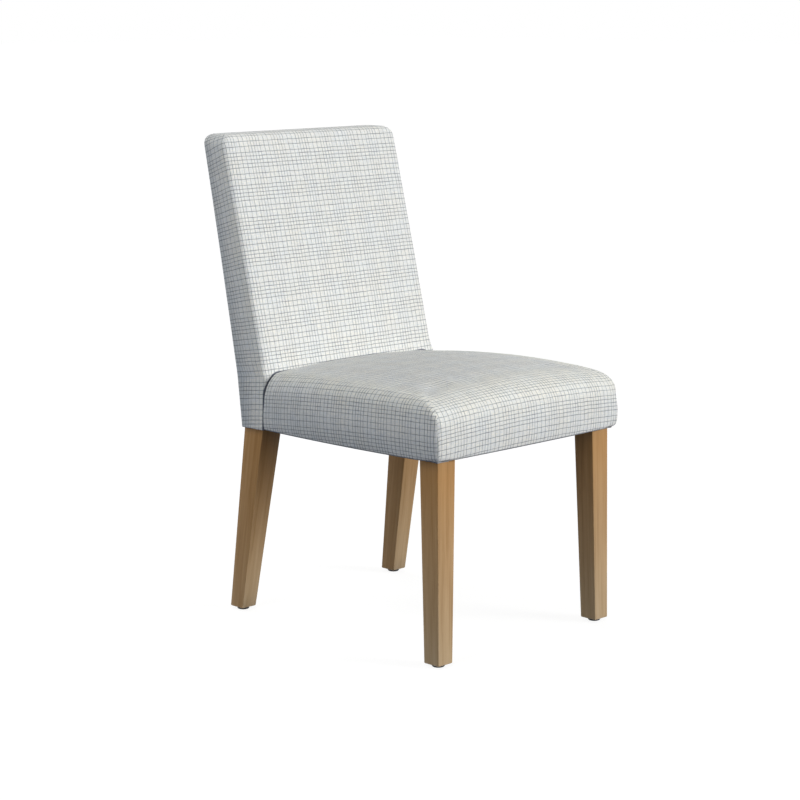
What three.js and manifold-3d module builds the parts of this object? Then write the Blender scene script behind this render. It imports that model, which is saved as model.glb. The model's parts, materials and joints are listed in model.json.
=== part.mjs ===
// Upholstered dining chair: tapered wooden legs, a tenoned frame, webbing, foam, wadding and a fabric cover.
// Millimetres, +Z up, front towards -Y. Left is -X, as seen from the front.

import * as THREE from "three";
import { mergeVertices } from "three/addons/utils/BufferGeometryUtils.js";
import Module from "manifold-3d";

const wasm = await Module();
wasm.setup();

// Stance: the seat frame is square in itself and stands pitched back by a small angle.
const seatPitch = THREE.MathUtils.degToRad(0.876);
const undersideHeight = 337.2; // floor to the seat's underside, at the front legs' front faces

// Fits
const clearance = 0.3;
const overrun = 12; // how far a cutter runs past what it cuts

// Front legs: square in section, tapered on their two inner faces
const frontLegSpread = 207.1; // centre line to the outer face, at the seat's underside
const frontFootSpread = 208.9;
const frontLegWidth = 40.2;
const frontFootWidth = 32.5;

// Rear legs: raked back below the seat, and running up inside the back as its posts
const rearLegSpread = 199.4;
const rearFootSpread = 201.1;
const rearLegWidth = 43.5;
const rearLegDepth = 46.7;
const rearFootWidth = 31.4;
const rearFootDepth = 31.4;
const rearLegPlace = 421; // front legs' front faces to the rear legs' front faces, at the seat
const rearFootPlace = 482.7; // the same, at the floor
const postTopSpread = 198.9;
const postTopWidth = 32;
const postTopDrop = 20.5; // top of the back down to the top of the posts

// Glides and their nails
const glideHeight = 5;
const glideRadius = 10.5;
const glideEdge = 1.2;
const nailRadius = 1.3;
const nailLength = 16;
const nailPoint = 3;
const nailHeadRadius = 3.4;
const nailHeadHeight = 1;
const nailHeadDepth = 1; // how deep the head lies in the glide's bottom

// Seat rails, flush with the outer faces of the legs
const railThickness = 22;
const railHeight = 52;
const tenonLength = 17;
const tenonThickness = 10;
const tenonShoulder = 8; // rail's top or bottom edge to the tenon
const rearRailSetback = 3; // rear legs' rear faces to the rear rail's rear face

// Corner blocks and their screws
const blockReach = 45; // along each rail, beyond the leg
const blockHeight = 40;
const blockDrop = 6; // rails' tops down to the blocks' tops
const screwReach = 18; // along the rail, from the leg to the screw
const screwGrip = 11; // block between the rail and the top of the screw's head
const screwBite = 14; // screw in the rail
const screwPoint = 6;
const screwRadius = 2.2;
const screwHeadRadius = 4.4;
const screwHeadHeight = 2.6;

// Back rails, between the posts
const backRailThickness = 17;
const backRailHeight = 42;
const lowerRailPlace = 24; // along the posts, from their knee to the lower back rail
const topRailDrop = 4; // along the posts, from their tops to the top rail

// Elastic webbing
const strapWidth = 50;
const strapThickness = 1.8;
const strapMargin = 5; // strap's end to the rail's outer face
const seatStrapPitch = 96;
const backStrapPitch = 84;
const strapsEachWay = 3;

// Upholstery layers
const coverThickness = 1.5;
const seatWaddingThickness = 7;
const backWaddingThickness = 4.5;
const backFoamThickness = 15;
const tackStripThickness = 1.8;
const tackStripWidth = 12;
const tackStripMargin = 3.5; // post's outer face to the strip
const coverReturn = 30; // cover turned in under the rails
const dustCoverThickness = 0.8;
const dustCoverInset = 6; // legs' outer faces to the dust cover's edge

// Seat cushion
const seatSidePad = 13.7; // front leg's outer face to the cover, at the seat's bottom edge
const seatFrontPad = 13.2; // front leg's front face to the cover, at the seat's bottom edge
const seatCornerRadius = 8;
const seatSideBow = 8;
const seatFrontBow = 3.2;
const seatSideBulge = 5.7;
const seatFrontBulge = 3.5;
const seatCornerBulge = 2;
const seatTuck = 3.5; // how far the sides draw in at the bottom edge
const seatTuckHeight = 4;
const seatEdgeHeight = 94.5; // underside to the top at the seat's rear corners
const seatLengthCrown = 11;
const seatWidthCrown = 8;
const sideRoundDepth = 27;
const sideRoundHeight = 30;
const frontRoundDepth = 62;
const frontRoundHeight = 45;
const seamProud = 0.9; // seat's side beyond the back's side, where they meet

// Back cushion, with its heights taken above the seat's underside
const backSidePad = 6.9; // rear leg's outer face to the cover
const backTop = 496.2;
const backKnee = 89.4; // where the back starts to rake
const backFrontAtFoot = 411.7; // front legs' front faces to the back's front face
const backFrontAtKnee = 406.5;
const backFrontAtTop = 502.9;
const backDepthAtFoot = 61.5;
const backDepthAtKnee = 76;
const backDepthAtTop = 56.2;
const backBow = 1.2; // how far the raked faces hollow between the knee and the top
const backFrontCrown = 4;
const backRearCrown = 1.5;
const backEdgeRadius = 10.5;
const backSeamRadius = 3; // front edges of the back's sides, where they meet the seat's
const backCornerRadius = 20; // top corners, seen from the front
const backTopRadius = 10; // top edges, seen from the side
const rearPanelInset = 10; // back's side to the rear panel's edge

// Shares of the sizes above, chosen by hand
const seatSideShares = [
  { height: 0.3, bulge: 0.7 },
  { height: 0.56, bulge: 1 },
  { height: 0.8, bulge: 0.85 },
  { height: 1, bulge: 0.5 },
];
const seatTopShares = [0.78, 0.5, 0.22];
const backHeightShares = [0.16, 0.32, 0.48, 0.64, 0.8];

// Counts of steps in curved faces
const seatSideSteps = 7;
const seatFrontSteps = 8;
const cornerSteps = 3;
const roundSteps = 5;
const backFaceSteps = 6;
const glideSides = 16;
const shankSides = 10;

// Finishes
function finish(color, roughness, metalness = 0) {
  return new THREE.MeshStandardMaterial({ color, roughness, metalness });
}
const legWood = finish(0xa9835a, 0.45);
const frameWood = finish(0xcdb48c, 0.7);
const fabric = finish(0xd9dad6, 0.9);
const cambric = finish(0x1c1c1e, 0.95);
const foam = finish(0xe6dcae, 0.95);
const wadding = finish(0xf3f3f0, 1);
const webbing = finish(0x8c7a5c, 0.85);
const card = finish(0xb59a6e, 0.9);
const glidePlastic = finish(0x1a1a1c, 0.5);
const steel = finish(0xa8a9ab, 0.35, 0.9);

// Sizes worked out from the ones above
const { lerp } = THREE.MathUtils;
const sides = { left: -1, right: 1 };
const layerInset = coverThickness + clearance;
const seatFoamInset = layerInset + seatWaddingThickness + clearance;
const backFoamInset = layerInset + backWaddingThickness + clearance;
const railBottom = layerInset;
const railTop = railBottom + railHeight;
const strapRise = (strapThickness + clearance) / 2;
const strapStack = 3 * strapRise; // two crossed straps and their clearances
const seatFoamBottom = railTop + strapStack + clearance;
const seatHalfFront = frontLegSpread + seatSidePad;
const backHalfAtSeat = rearLegSpread + backSidePad;
const seatHalfRear = backHalfAtSeat + seamProud;
const seatFront = -seatFrontPad;
const seatLength = backFrontAtFoot - seatFront;
const seatTopHeight = seatEdgeHeight + seatLengthCrown + seatWidthCrown;
const postTop = backTop - postTopDrop;
const frontPostPad = backFoamInset + backFoamThickness + strapStack + clearance;
const rearPostPad = backFoamInset + tackStripThickness + clearance + backBow;
const rearLegRear = rearLegPlace + rearLegDepth;
const rearRailRear = rearLegRear - rearRailSetback;
const rearRailFront = rearRailRear - railThickness;
const frontLegInner = frontLegSpread - frontLegWidth;
const rearLegInner = rearLegSpread - rearLegWidth;
const postTopInner = postTopSpread - postTopWidth;
const sideRailFront = frontLegWidth + clearance;
const sideRailRear = rearLegPlace - clearance;

// A hump that is 0 at shares 0 and 1, and 1 between them
const arch = (share) => 4 * share * (1 - share);

// The back seen from the side: its front and rear faces at a height above the seat's underside
function alongBack(height, atFoot, atKnee, atTop, bow) {
  if (height < backKnee) return lerp(atFoot, atKnee, height / backKnee);
  const share = (height - backKnee) / (backTop - backKnee);
  return lerp(atKnee, atTop, share) - bow * arch(share);
}
const backFront = (height) => alongBack(height, backFrontAtFoot, backFrontAtKnee, backFrontAtTop, backBow);
const backDepth = (height) => alongBack(height, backDepthAtFoot, backDepthAtKnee, backDepthAtTop, 0);
const backRear = (height) => backFront(height) + backDepth(height);

// The posts seen from the side, and their inner faces seen from the front
const postFrontAtKnee = backFront(backKnee) + frontPostPad;
const postFrontAtTop = backFront(postTop) + frontPostPad;
const postRearAtKnee = backRear(backKnee) - rearPostPad;
const postRearAtTop = backRear(postTop) - rearPostPad;
const postLean = Math.atan2(postFrontAtTop - postFrontAtKnee, postTop - backKnee);
const postLength = Math.hypot(postFrontAtTop - postFrontAtKnee, postTop - backKnee);
const upPost = (height) => (height - seatFoamBottom) / (postTop - seatFoamBottom);
const postInner = (height) => lerp(rearLegInner, postTopInner, upPost(height));
const postOuter = (height) => lerp(rearLegSpread, postTopSpread, upPost(height));
const backHalf = (height) => postOuter(Math.max(height, seatFoamBottom)) + backSidePad;

// Side rail's outer face at a distance behind the front legs' front faces
function railOuter(y) {
  const share = (y - sideRailFront) / (sideRailRear - sideRailFront);
  return lerp(frontLegSpread, rearLegSpread, share);
}

// Groups: the seat's frame, and inside it the plane of the posts' front faces
const chair = new THREE.Group();
const seatFrame = new THREE.Group();
seatFrame.position.z = undersideHeight;
seatFrame.rotation.x = -seatPitch;
chair.add(seatFrame);
const backFrame = new THREE.Group();
backFrame.position.set(0, postFrontAtKnee, backKnee);
backFrame.rotation.x = -postLean;
seatFrame.add(backFrame);

// Height, in the seat's frame, of a point at y that lies at the given height above the floor
function levelAt(floorHeight, y) {
  return (floorHeight - undersideHeight + y * Math.sin(seatPitch)) / Math.cos(seatPitch);
}

// Shapes

// A closed solid through rings with equally many points, anticlockwise from above, lowest ring first
function loft(rings, bottomCentre, topCentre) {
  const count = rings[0].length;
  const points = [...rings.flat(), bottomCentre, topCentre];
  const bottom = points.length - 2;
  const top = points.length - 1;
  const last = (rings.length - 1) * count;
  const faces = [];
  for (let i = 0; i < count; i++) {
    const next = (i + 1) % count;
    for (let low = 0; low < last; low += count) {
      const high = low + count;
      faces.push(low + i, low + next, high + next);
      faces.push(low + i, high + next, high + i);
    }
    faces.push(bottom, next, i);
    faces.push(top, last + i, last + next);
  }
  const geometry = new THREE.BufferGeometry();
  geometry.setAttribute("position", new THREE.Float32BufferAttribute(points.flat(), 3));
  geometry.setIndex(faces);
  return geometry;
}

// A flat outline in x and y, extruded upwards from z = low to z = high
function upPrism(outline, low, high) {
  const points = outline.map(([x, y]) => new THREE.Vector2(x, y));
  const shape = new THREE.Shape(points);
  const geometry = new THREE.ExtrudeGeometry(shape, { depth: high - low, bevelEnabled: false });
  return geometry.translate(0, 0, low);
}

// An outline in the side view, in y and z, extruded from x = low to x = high
function acrossPrism(outline, low, high) {
  return upPrism(outline, low, high).rotateY(Math.PI / 2).rotateX(Math.PI / 2);
}

// An outline in the front view, in x and z, extruded from y = low to y = high
function alongPrism(outline, low, high) {
  return upPrism(outline, -high, -low).rotateX(Math.PI / 2);
}

function boxBetween(low, high) {
  const size = high.map((value, axis) => value - low[axis]);
  const middle = high.map((value, axis) => (value + low[axis]) / 2);
  return new THREE.BoxGeometry(...size).translate(...middle);
}

// A solid turned about the Z axis, from radius and height pairs
function turned(profile, faces) {
  const points = profile.map(([radius, height]) => new THREE.Vector2(radius, height));
  return new THREE.LatheGeometry(points, faces).rotateX(Math.PI / 2);
}

// Booleans, on geometries that share one frame
function toSolid(geometry) {
  const bare = new THREE.BufferGeometry();
  bare.setAttribute("position", geometry.getAttribute("position"));
  bare.setIndex(geometry.index);
  const merged = mergeVertices(bare);
  const vertProperties = merged.getAttribute("position").array;
  return new wasm.Manifold(new wasm.Mesh({ numProp: 3, vertProperties, triVerts: merged.index.array }));
}

function fromSolid(solid) {
  const mesh = solid.getMesh();
  const geometry = new THREE.BufferGeometry();
  geometry.setAttribute("position", new THREE.BufferAttribute(mesh.vertProperties, 3));
  geometry.setIndex(new THREE.BufferAttribute(mesh.triVerts, 1));
  geometry.computeVertexNormals();
  return geometry;
}

function combine(operation, first, others) {
  return fromSolid(others.reduce((solid, other) => solid[operation](toSolid(other)), toSolid(first)));
}
const joined = (first, ...others) => combine("add", first, others);
const cut = (first, ...others) => combine("subtract", first, others);
const shared = (first, ...others) => combine("intersect", first, others);

// A geometry of one group's frame, as seen in another's
function carried(geometry, from, to) {
  from.updateWorldMatrix(true, false);
  to.updateWorldMatrix(true, false);
  const matrix = to.matrixWorld.clone().invert().multiply(from.matrixWorld);
  return geometry.clone().applyMatrix4(matrix);
}

// The placing of something that points down its own Z axis, so that it points the given way
function aimed(place, direction) {
  const down = new THREE.Vector3(0, 0, -1);
  const turn = new THREE.Quaternion().setFromUnitVectors(down, new THREE.Vector3(...direction));
  return new THREE.Matrix4().compose(new THREE.Vector3(...place), turn, new THREE.Vector3(1, 1, 1));
}

function addPiece(group, name, geometry, material, placing = new THREE.Matrix4()) {
  const mesh = new THREE.Mesh(geometry, material);
  mesh.name = name;
  mesh.applyMatrix4(placing);
  group.add(mesh);
}

// Legs, each cut to its side view and its front view as on a bandsaw. Room grows them, for use as cutters.
function legFromViews(sideView, frontView, side) {
  const across = frontView.map(([x]) => side * x);
  const along = sideView.map(([y]) => y);
  const fromSide = acrossPrism(sideView, Math.min(...across) - overrun, Math.max(...across) + overrun);
  const outline = frontView.map(([x, z]) => [side * x, z]);
  const fromFront = alongPrism(outline, Math.min(...along) - overrun, Math.max(...along) + overrun);
  return shared(fromSide, fromFront);
}

function frontLegShape(side, room = 0) {
  const foot = (y) => levelAt(glideHeight, y) - room;
  const top = railTop + room;
  const low = foot(0) - overrun;
  const sideView = [
    [-room, foot(0)],
    [frontFootWidth + room, foot(frontFootWidth)],
    [frontLegWidth + room, 0],
    [frontLegWidth + room, top],
    [-room, top],
  ];
  const frontView = [
    [frontFootSpread - frontFootWidth - room, low],
    [frontFootSpread + room, low],
    [frontLegSpread + room, 0],
    [frontLegSpread + room, top + overrun],
    [frontLegInner - room, top + overrun],
    [frontLegInner - room, 0],
  ];
  return legFromViews(sideView, frontView, side);
}

function rearLegShape(side, room = 0) {
  const foot = (y) => levelAt(glideHeight, y) - room;
  const low = foot(rearFootPlace) - overrun;
  const footRear = rearFootPlace + rearFootDepth;
  const sideView = [
    [rearFootPlace - room, foot(rearFootPlace)],
    [footRear + room, foot(footRear)],
    [rearLegRear + room, 0],
    [rearLegRear + room, seatFoamBottom],
    [postRearAtKnee + room, backKnee],
    [postRearAtTop + room, postTop + room],
    [postFrontAtTop - room, postTop + room],
    [postFrontAtKnee - room, backKnee],
    [rearLegPlace - room, seatFoamBottom],
    [rearLegPlace - room, 0],
  ];
  const frontView = [
    [rearFootSpread - rearFootWidth - room, low],
    [rearFootSpread + room, low],
    [rearLegSpread + room, 0],
    [rearLegSpread + room, seatFoamBottom],
    [postTopSpread + room, postTop + overrun],
    [postTopInner - room, postTop + overrun],
    [rearLegInner - room, seatFoamBottom],
    [rearLegInner - room, 0],
  ];
  return legFromViews(sideView, frontView, side);
}

// Seat rails: what the legs lose to each tenon is kept with the leg's name
const sockets = { front_left: [], front_right: [], rear_left: [], rear_right: [] };

function tenonBox(along, shoulder, reach, middle, room) {
  const half = tenonThickness / 2 + room;
  const near = Math.min(shoulder, shoulder + reach) - room;
  const far = Math.max(shoulder, shoulder + reach) + room;
  const low = railBottom + tenonShoulder - room;
  const high = railTop - tenonShoulder + room;
  if (along === "x") return boxBetween([near, middle - half, low], [far, middle + half, high]);
  return boxBetween([middle - half, near, low], [middle + half, far, high]);
}

function crossRail(front, legInner, end) {
  const shoulder = legInner - clearance;
  const middle = front + railThickness / 2;
  const body = boxBetween([-shoulder, front, railBottom], [shoulder, front + railThickness, railTop]);
  const tenons = Object.entries(sides).map(([side, sign]) => {
    sockets[end + "_" + side].push(tenonBox("x", sign * shoulder, sign * tenonLength, middle, clearance));
    return tenonBox("x", 0, sign * (shoulder + tenonLength), middle, 0);
  });
  return joined(body, ...tenons);
}

function sideRail(side) {
  const sign = sides[side];
  const outline = [
    [sign * frontLegSpread, sideRailFront],
    [sign * rearLegSpread, sideRailRear],
    [sign * (rearLegSpread - railThickness), sideRailRear],
    [sign * (frontLegSpread - railThickness), sideRailFront],
  ];
  const frontMiddle = sign * (frontLegSpread - railThickness / 2);
  const rearMiddle = sign * (rearLegSpread - railThickness / 2);
  sockets["front_" + side].push(tenonBox("y", sideRailFront, -tenonLength, frontMiddle, clearance));
  sockets["rear_" + side].push(tenonBox("y", sideRailRear, tenonLength, rearMiddle, clearance));
  const rooted = tenonLength + tenonShoulder;
  const frontTenon = tenonBox("y", sideRailFront + tenonShoulder, -rooted, frontMiddle, 0);
  const rearTenon = tenonBox("y", sideRailRear - tenonShoulder, rooted, rearMiddle, 0);
  return joined(upPrism(outline, railBottom, railTop), frontTenon, rearTenon);
}

const rails = {
  front: crossRail(0, frontLegInner, "front"),
  rear: crossRail(rearRailFront, rearLegInner, "rear"),
  left: sideRail("left"),
  right: sideRail("right"),
};

// Corner blocks, notched round the legs and screwed to both rails
function screwShape(room, access) {
  const point = -screwGrip - screwBite - room;
  const shank = screwRadius + room;
  const head = screwHeadRadius + room;
  const profile = [[0, point], [shank, point + screwPoint], [shank, -screwHeadHeight - room], [head, 0]];
  if (access > 0) profile.push([head, access]);
  return turned([...profile, [0, access]], shankSides);
}

function addCornerBlock(end, side) {
  const sign = sides[side];
  const atFront = end === "front";
  const inward = atFront ? 1 : -1;
  const legX = (atFront ? frontLegInner : rearLegInner) - clearance;
  const legY = atFront ? sideRailFront : sideRailRear;
  const railY = atFront ? railThickness + clearance : rearRailFront - clearance;
  const farX = legX - blockReach;
  const farY = legY + inward * blockReach;
  const railX = (y) => railOuter(y) - railThickness - clearance;
  const outline = [[railX(legY), legY], [railX(farY), farY], [farX, railY], [legX, railY], [legX, legY]];
  const top = railTop - blockDrop;
  const body = upPrism(outline.map(([x, y]) => [sign * x, y]), top - blockHeight, top);
  const height = top - blockHeight / 2;
  const sideScrewY = legY + inward * screwReach;
  const placings = {
    cross: aimed([sign * (legX - screwReach), railY + inward * screwGrip, height], [0, -inward, 0]),
    side: aimed([sign * (railX(sideScrewY) - screwGrip), sideScrewY, height], [sign, 0, 0]),
  };
  const hole = screwShape(clearance, blockReach);
  const holes = Object.values(placings).map((placing) => hole.clone().applyMatrix4(placing));
  addPiece(seatFrame, `corner_block_${end}_${side}`, cut(body, ...holes), frameWood);
  for (const [way, placing] of Object.entries(placings))
    addPiece(seatFrame, `block_screw_${end}_${side}_${way}`, screwShape(0, 0), steel, placing);
  rails[end] = cut(rails[end], holes[0]);
  rails[side] = cut(rails[side], holes[1]);
}

for (const end of ["front", "rear"]) for (const side of Object.keys(sides)) addCornerBlock(end, side);
for (const [place, rail] of Object.entries(rails)) addPiece(seatFrame, "seat_rail_" + place, rail, frameWood);

// Back rails, with tenons into the posts
function addBackRail(name, low) {
  const high = low + backRailHeight;
  const height = backKnee + ((low + high) / 2) * Math.cos(postLean);
  const middle = (postInner(height) + postOuter(height)) / 2;
  const posts = [-1, 1].map((side) => carried(rearLegShape(side, clearance), seatFrame, backFrame));
  const body = cut(boxBetween([-middle, 0, low], [middle, backRailThickness, high]), ...posts);
  const shoulder = postInner(height) - clearance;
  const tenon = (room) => {
    const half = tenonThickness / 2 + room;
    const reach = shoulder + tenonLength + room;
    const depth = backRailThickness / 2;
    const drop = tenonShoulder - room;
    return boxBetween([-reach, depth - half, low + drop], [reach, depth + half, high - drop]);
  };
  const socket = carried(tenon(clearance), backFrame, seatFrame);
  for (const side of Object.keys(sides)) sockets["rear_" + side].push(socket);
  addPiece(backFrame, name, joined(body, tenon(0)), frameWood);
}
addBackRail("back_rail_lower", lowerRailPlace);
addBackRail("back_rail_top", postLength - topRailDrop - backRailHeight);

// Glides, nailed under the feet
function addGlide(end, side) {
  const sign = sides[side];
  const atFront = end === "front";
  const footX = atFront ? frontFootSpread - frontFootWidth / 2 : rearFootSpread - rearFootWidth / 2;
  const footY = atFront ? frontFootWidth / 2 : rearFootPlace + rearFootDepth / 2;
  const centre = seatFrame.localToWorld(new THREE.Vector3(sign * footX, footY, levelAt(glideHeight, footY)));
  const placing = new THREE.Matrix4().makeTranslation(centre.x, centre.y, 0);
  const top = glideHeight - clearance;
  const headTop = nailHeadDepth + nailHeadHeight;
  const ledge = headTop + clearance;
  const bore = nailRadius + clearance;
  const counterbore = nailHeadRadius + clearance;
  const profile = [
    [bore, ledge],
    [counterbore, ledge],
    [counterbore, 0],
    [glideRadius - glideEdge, 0],
    [glideRadius, glideEdge],
    [glideRadius, top],
    [bore, top],
    [bore, ledge],
  ];
  const tip = nailHeadDepth + nailLength;
  const nail = [
    [0, nailHeadDepth],
    [nailHeadRadius, nailHeadDepth],
    [nailHeadRadius, headTop],
    [nailRadius, headTop],
    [nailRadius, tip - nailPoint],
    [0, tip],
  ];
  addPiece(chair, `glide_${end}_${side}`, turned(profile, glideSides), glidePlastic, placing);
  addPiece(chair, `glide_nail_${end}_${side}`, turned(nail, shankSides), steel, placing);
  const hole = turned([[0, 0], [bore, 0], [bore, tip + clearance], [0, tip + clearance]], shankSides);
  sockets[end + "_" + side].push(carried(hole.applyMatrix4(placing), chair, seatFrame));
}
seatFrame.updateWorldMatrix(true, false);
for (const end of ["front", "rear"]) for (const side of Object.keys(sides)) addGlide(end, side);

for (const [side, sign] of Object.entries(sides)) {
  addPiece(seatFrame, "front_leg_" + side, cut(frontLegShape(sign), ...sockets["front_" + side]), legWood);
  addPiece(seatFrame, "rear_leg_" + side, cut(rearLegShape(sign), ...sockets["rear_" + side]), legWood);
}

// Webbing: a strap runs along x and weaves over and under the straps that it crosses
function strapShape(halfLength, halfSpan, crossings, firstSide) {
  const half = strapWidth / 2;
  const path = [[-halfLength, 0], [-halfSpan, 0]];
  crossings.forEach((place, i) => {
    const rise = firstSide * (i % 2 ? -strapRise : strapRise);
    path.push([place - half, rise], [place + half, rise]);
  });
  path.push([halfSpan, 0], [halfLength, 0]);
  const upper = path.map(([x, rise]) => [x, rise + strapThickness / 2]);
  const lower = path.map(([x, rise]) => [x, rise - strapThickness / 2]);
  return alongPrism([...lower, ...upper.reverse()], -half, half);
}
const strapLift = clearance + strapThickness / 2;
const strapPlaces = (middle, pitch) => {
  return Array.from({ length: strapsEachWay }, (_, i) => middle + (i - (strapsEachWay - 1) / 2) * pitch);
};

function addSeatWebbing() {
  const lengthOffsets = strapPlaces(0, seatStrapPitch);
  const halfLength = rearRailRear / 2 - strapMargin;
  const halfSpan = rearRailRear / 2 - railThickness;
  const middle = rearRailRear / 2;
  const height = railTop + strapLift;
  lengthOffsets.forEach((x, i) => {
    const strap = strapShape(halfLength, halfSpan, lengthOffsets, i % 2 ? -1 : 1);
    const placing = new THREE.Matrix4().makeRotationZ(Math.PI / 2).setPosition(x, middle, height);
    addPiece(seatFrame, `seat_strap_length_${i + 1}`, strap, webbing, placing);
  });
  strapPlaces(middle, seatStrapPitch).forEach((y, i) => {
    const outer = railOuter(y + strapWidth / 2);
    const strap = strapShape(outer - strapMargin, outer - railThickness, lengthOffsets, i % 2 ? 1 : -1);
    const placing = new THREE.Matrix4().setPosition(0, y, height);
    addPiece(seatFrame, `seat_strap_cross_${i + 1}`, strap, webbing, placing);
  });
}
addSeatWebbing();

function addBackWebbing() {
  const lowerRailTop = lowerRailPlace + backRailHeight;
  const topRailBottom = postLength - topRailDrop - backRailHeight;
  const middle = (lowerRailTop + topRailBottom) / 2;
  const halfSpan = (topRailBottom - lowerRailTop) / 2;
  const halfLength = halfSpan + backRailHeight - strapMargin;
  const offsets = strapPlaces(0, backStrapPitch);
  const facing = new THREE.Matrix4().makeRotationX(Math.PI / 2);
  offsets.forEach((x, i) => {
    const strap = strapShape(halfLength, halfSpan, offsets, i % 2 ? -1 : 1).rotateZ(Math.PI / 2);
    const placing = facing.clone().setPosition(x, -strapLift, middle);
    addPiece(backFrame, `back_strap_upright_${i + 1}`, strap, webbing, placing);
  });
  offsets.forEach((offset, i) => {
    const height = backKnee + (middle + offset - strapWidth / 2) * Math.cos(postLean);
    const outer = Math.min(postOuter(height), postTopSpread);
    const strap = strapShape(outer - strapMargin, postInner(height), offsets, i % 2 ? 1 : -1);
    const placing = facing.clone().setPosition(0, -strapLift, middle + offset);
    addPiece(backFrame, `back_strap_cross_${i + 1}`, strap, webbing, placing);
  });
}
addBackWebbing();

// Seat cushion. Its outline at the bottom edge runs from the rear left round the front to the rear right.
const seatEnd = backFrontAtFoot + overrun;

function seatOutline() {
  const middleX = seatHalfFront - seatCornerRadius;
  const middleY = seatFront + seatCornerRadius;
  const stations = [];
  for (let i = 0; i <= seatSideSteps; i++) {
    const y = lerp(seatEnd, middleY, i / seatSideSteps);
    const share = (y - seatFront) / seatLength;
    const x = -lerp(seatHalfFront, seatHalfRear, share) - seatSideBow * arch(share);
    const bulge = seatCornerBulge + (seatSideBulge - seatCornerBulge) * arch(share);
    stations.push({ x, y, outX: -1, outY: 0, bulge, frontness: 0 });
  }
  for (let i = 1; i <= cornerSteps; i++) {
    const frontness = i / cornerSteps;
    const outX = -Math.cos((frontness * Math.PI) / 2);
    const outY = -Math.sin((frontness * Math.PI) / 2);
    const x = -middleX + outX * seatCornerRadius;
    const y = middleY + outY * seatCornerRadius;
    stations.push({ x, y, outX, outY, bulge: seatCornerBulge, frontness });
  }
  for (let i = 1; i <= seatFrontSteps / 2; i++) {
    const x = -middleX + (middleX * i) / (seatFrontSteps / 2);
    const share = 1 - (x / middleX) ** 2;
    const y = seatFront - seatFrontBow * share;
    const bulge = seatCornerBulge + (seatFrontBulge - seatCornerBulge) * share;
    stations.push({ x, y, outX: 0, outY: -1, bulge, frontness: 1 });
  }
  const mirrored = stations.map((station) => ({ ...station, x: -station.x, outX: -station.outX }));
  return [...stations, ...mirrored.slice(0, -1).reverse()];
}

// The seat's whole form, shrunk by an inset. It runs on past the back's front face, where it is cut.
function seatForm(inset) {
  const stations = seatOutline();
  const fullLength = seatEnd - seatFront;
  const shrunk = (x, y, across, along) => {
    return [x * (1 - across / seatHalfFront), seatEnd - (seatEnd - y) * (1 - along / fullLength)];
  };
  const topAt = (x, y) => {
    const along = (2 * (y - seatFront)) / seatLength - 1;
    const across = x / (seatHalfFront - sideRoundDepth);
    return seatEdgeHeight + seatLengthCrown * (1 - along ** 2) + seatWidthCrown * (1 - across ** 2) - inset;
  };
  const rimAt = ({ x, y }) => shrunk(x, y, inset + sideRoundDepth, inset + frontRoundDepth);
  const roundHeight = ({ frontness }) => lerp(sideRoundHeight, frontRoundHeight, frontness);
  const shoulderAt = (station) => topAt(...rimAt(station)) - roundHeight(station);
  const ring = (outward, heightOf, round) =>
    stations.map((station) => {
      const x = station.x + station.outX * outward(station);
      const y = station.y + station.outY * outward(station);
      const place = shrunk(x, y, inset + sideRoundDepth * round, inset + frontRoundDepth * round);
      return [...place, heightOf(station)];
    });
  const rings = [
    ring(() => -seatTuck, () => inset, 0),
    ring(() => 0, () => inset + seatTuckHeight, 0),
  ];
  for (const { height, bulge } of seatSideShares) {
    const heightOf = (station) => lerp(inset, shoulderAt(station), height);
    rings.push(ring((station) => station.bulge * bulge, heightOf, 0));
  }
  for (let i = 1; i <= roundSteps; i++) {
    const angle = (i / roundSteps) * (Math.PI / 2);
    const outward = (station) => station.bulge * seatSideShares.at(-1).bulge * Math.cos(angle);
    const height = (station) => shoulderAt(station) + roundHeight(station) * Math.sin(angle);
    rings.push(ring(outward, height, 1 - Math.cos(angle)));
  }
  for (const share of seatTopShares)
    rings.push(
      stations.map((station) => {
        const [rimX, rimY] = rimAt(station);
        const x = rimX * share;
        const y = lerp(seatEnd, rimY, share);
        return [x, y, topAt(x, y)];
      }),
    );
  return loft(rings, [0, (seatFront + seatEnd) / 2, inset], [0, seatEnd, topAt(0, seatEnd)]);
}

// Everything behind the back's front face, less a clearance
function behindBack() {
  const heights = [-overrun, backKnee, seatTopHeight + overrun];
  const face = heights.map((height) => [backFront(height) - clearance, height]);
  const far = seatEnd + overrun;
  const outline = [...face.reverse(), [far, -overrun], [far, seatTopHeight + overrun]];
  return acrossPrism(outline, -seatHalfFront - overrun, seatHalfFront + overrun);
}

// The space that the legs and rails take up, from below the seat to the given height
function frameSpace(top) {
  const front = frontLegSpread + clearance;
  const rear = rearLegSpread + clearance;
  const half = [
    [front, -clearance],
    [front, sideRailFront],
    [rear, sideRailRear],
    [rear, rearLegRear + clearance],
  ];
  const outline = [...half, ...half.map(([x, y]) => [-x, y]).reverse()];
  return upPrism(outline, -overrun, top);
}

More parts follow.
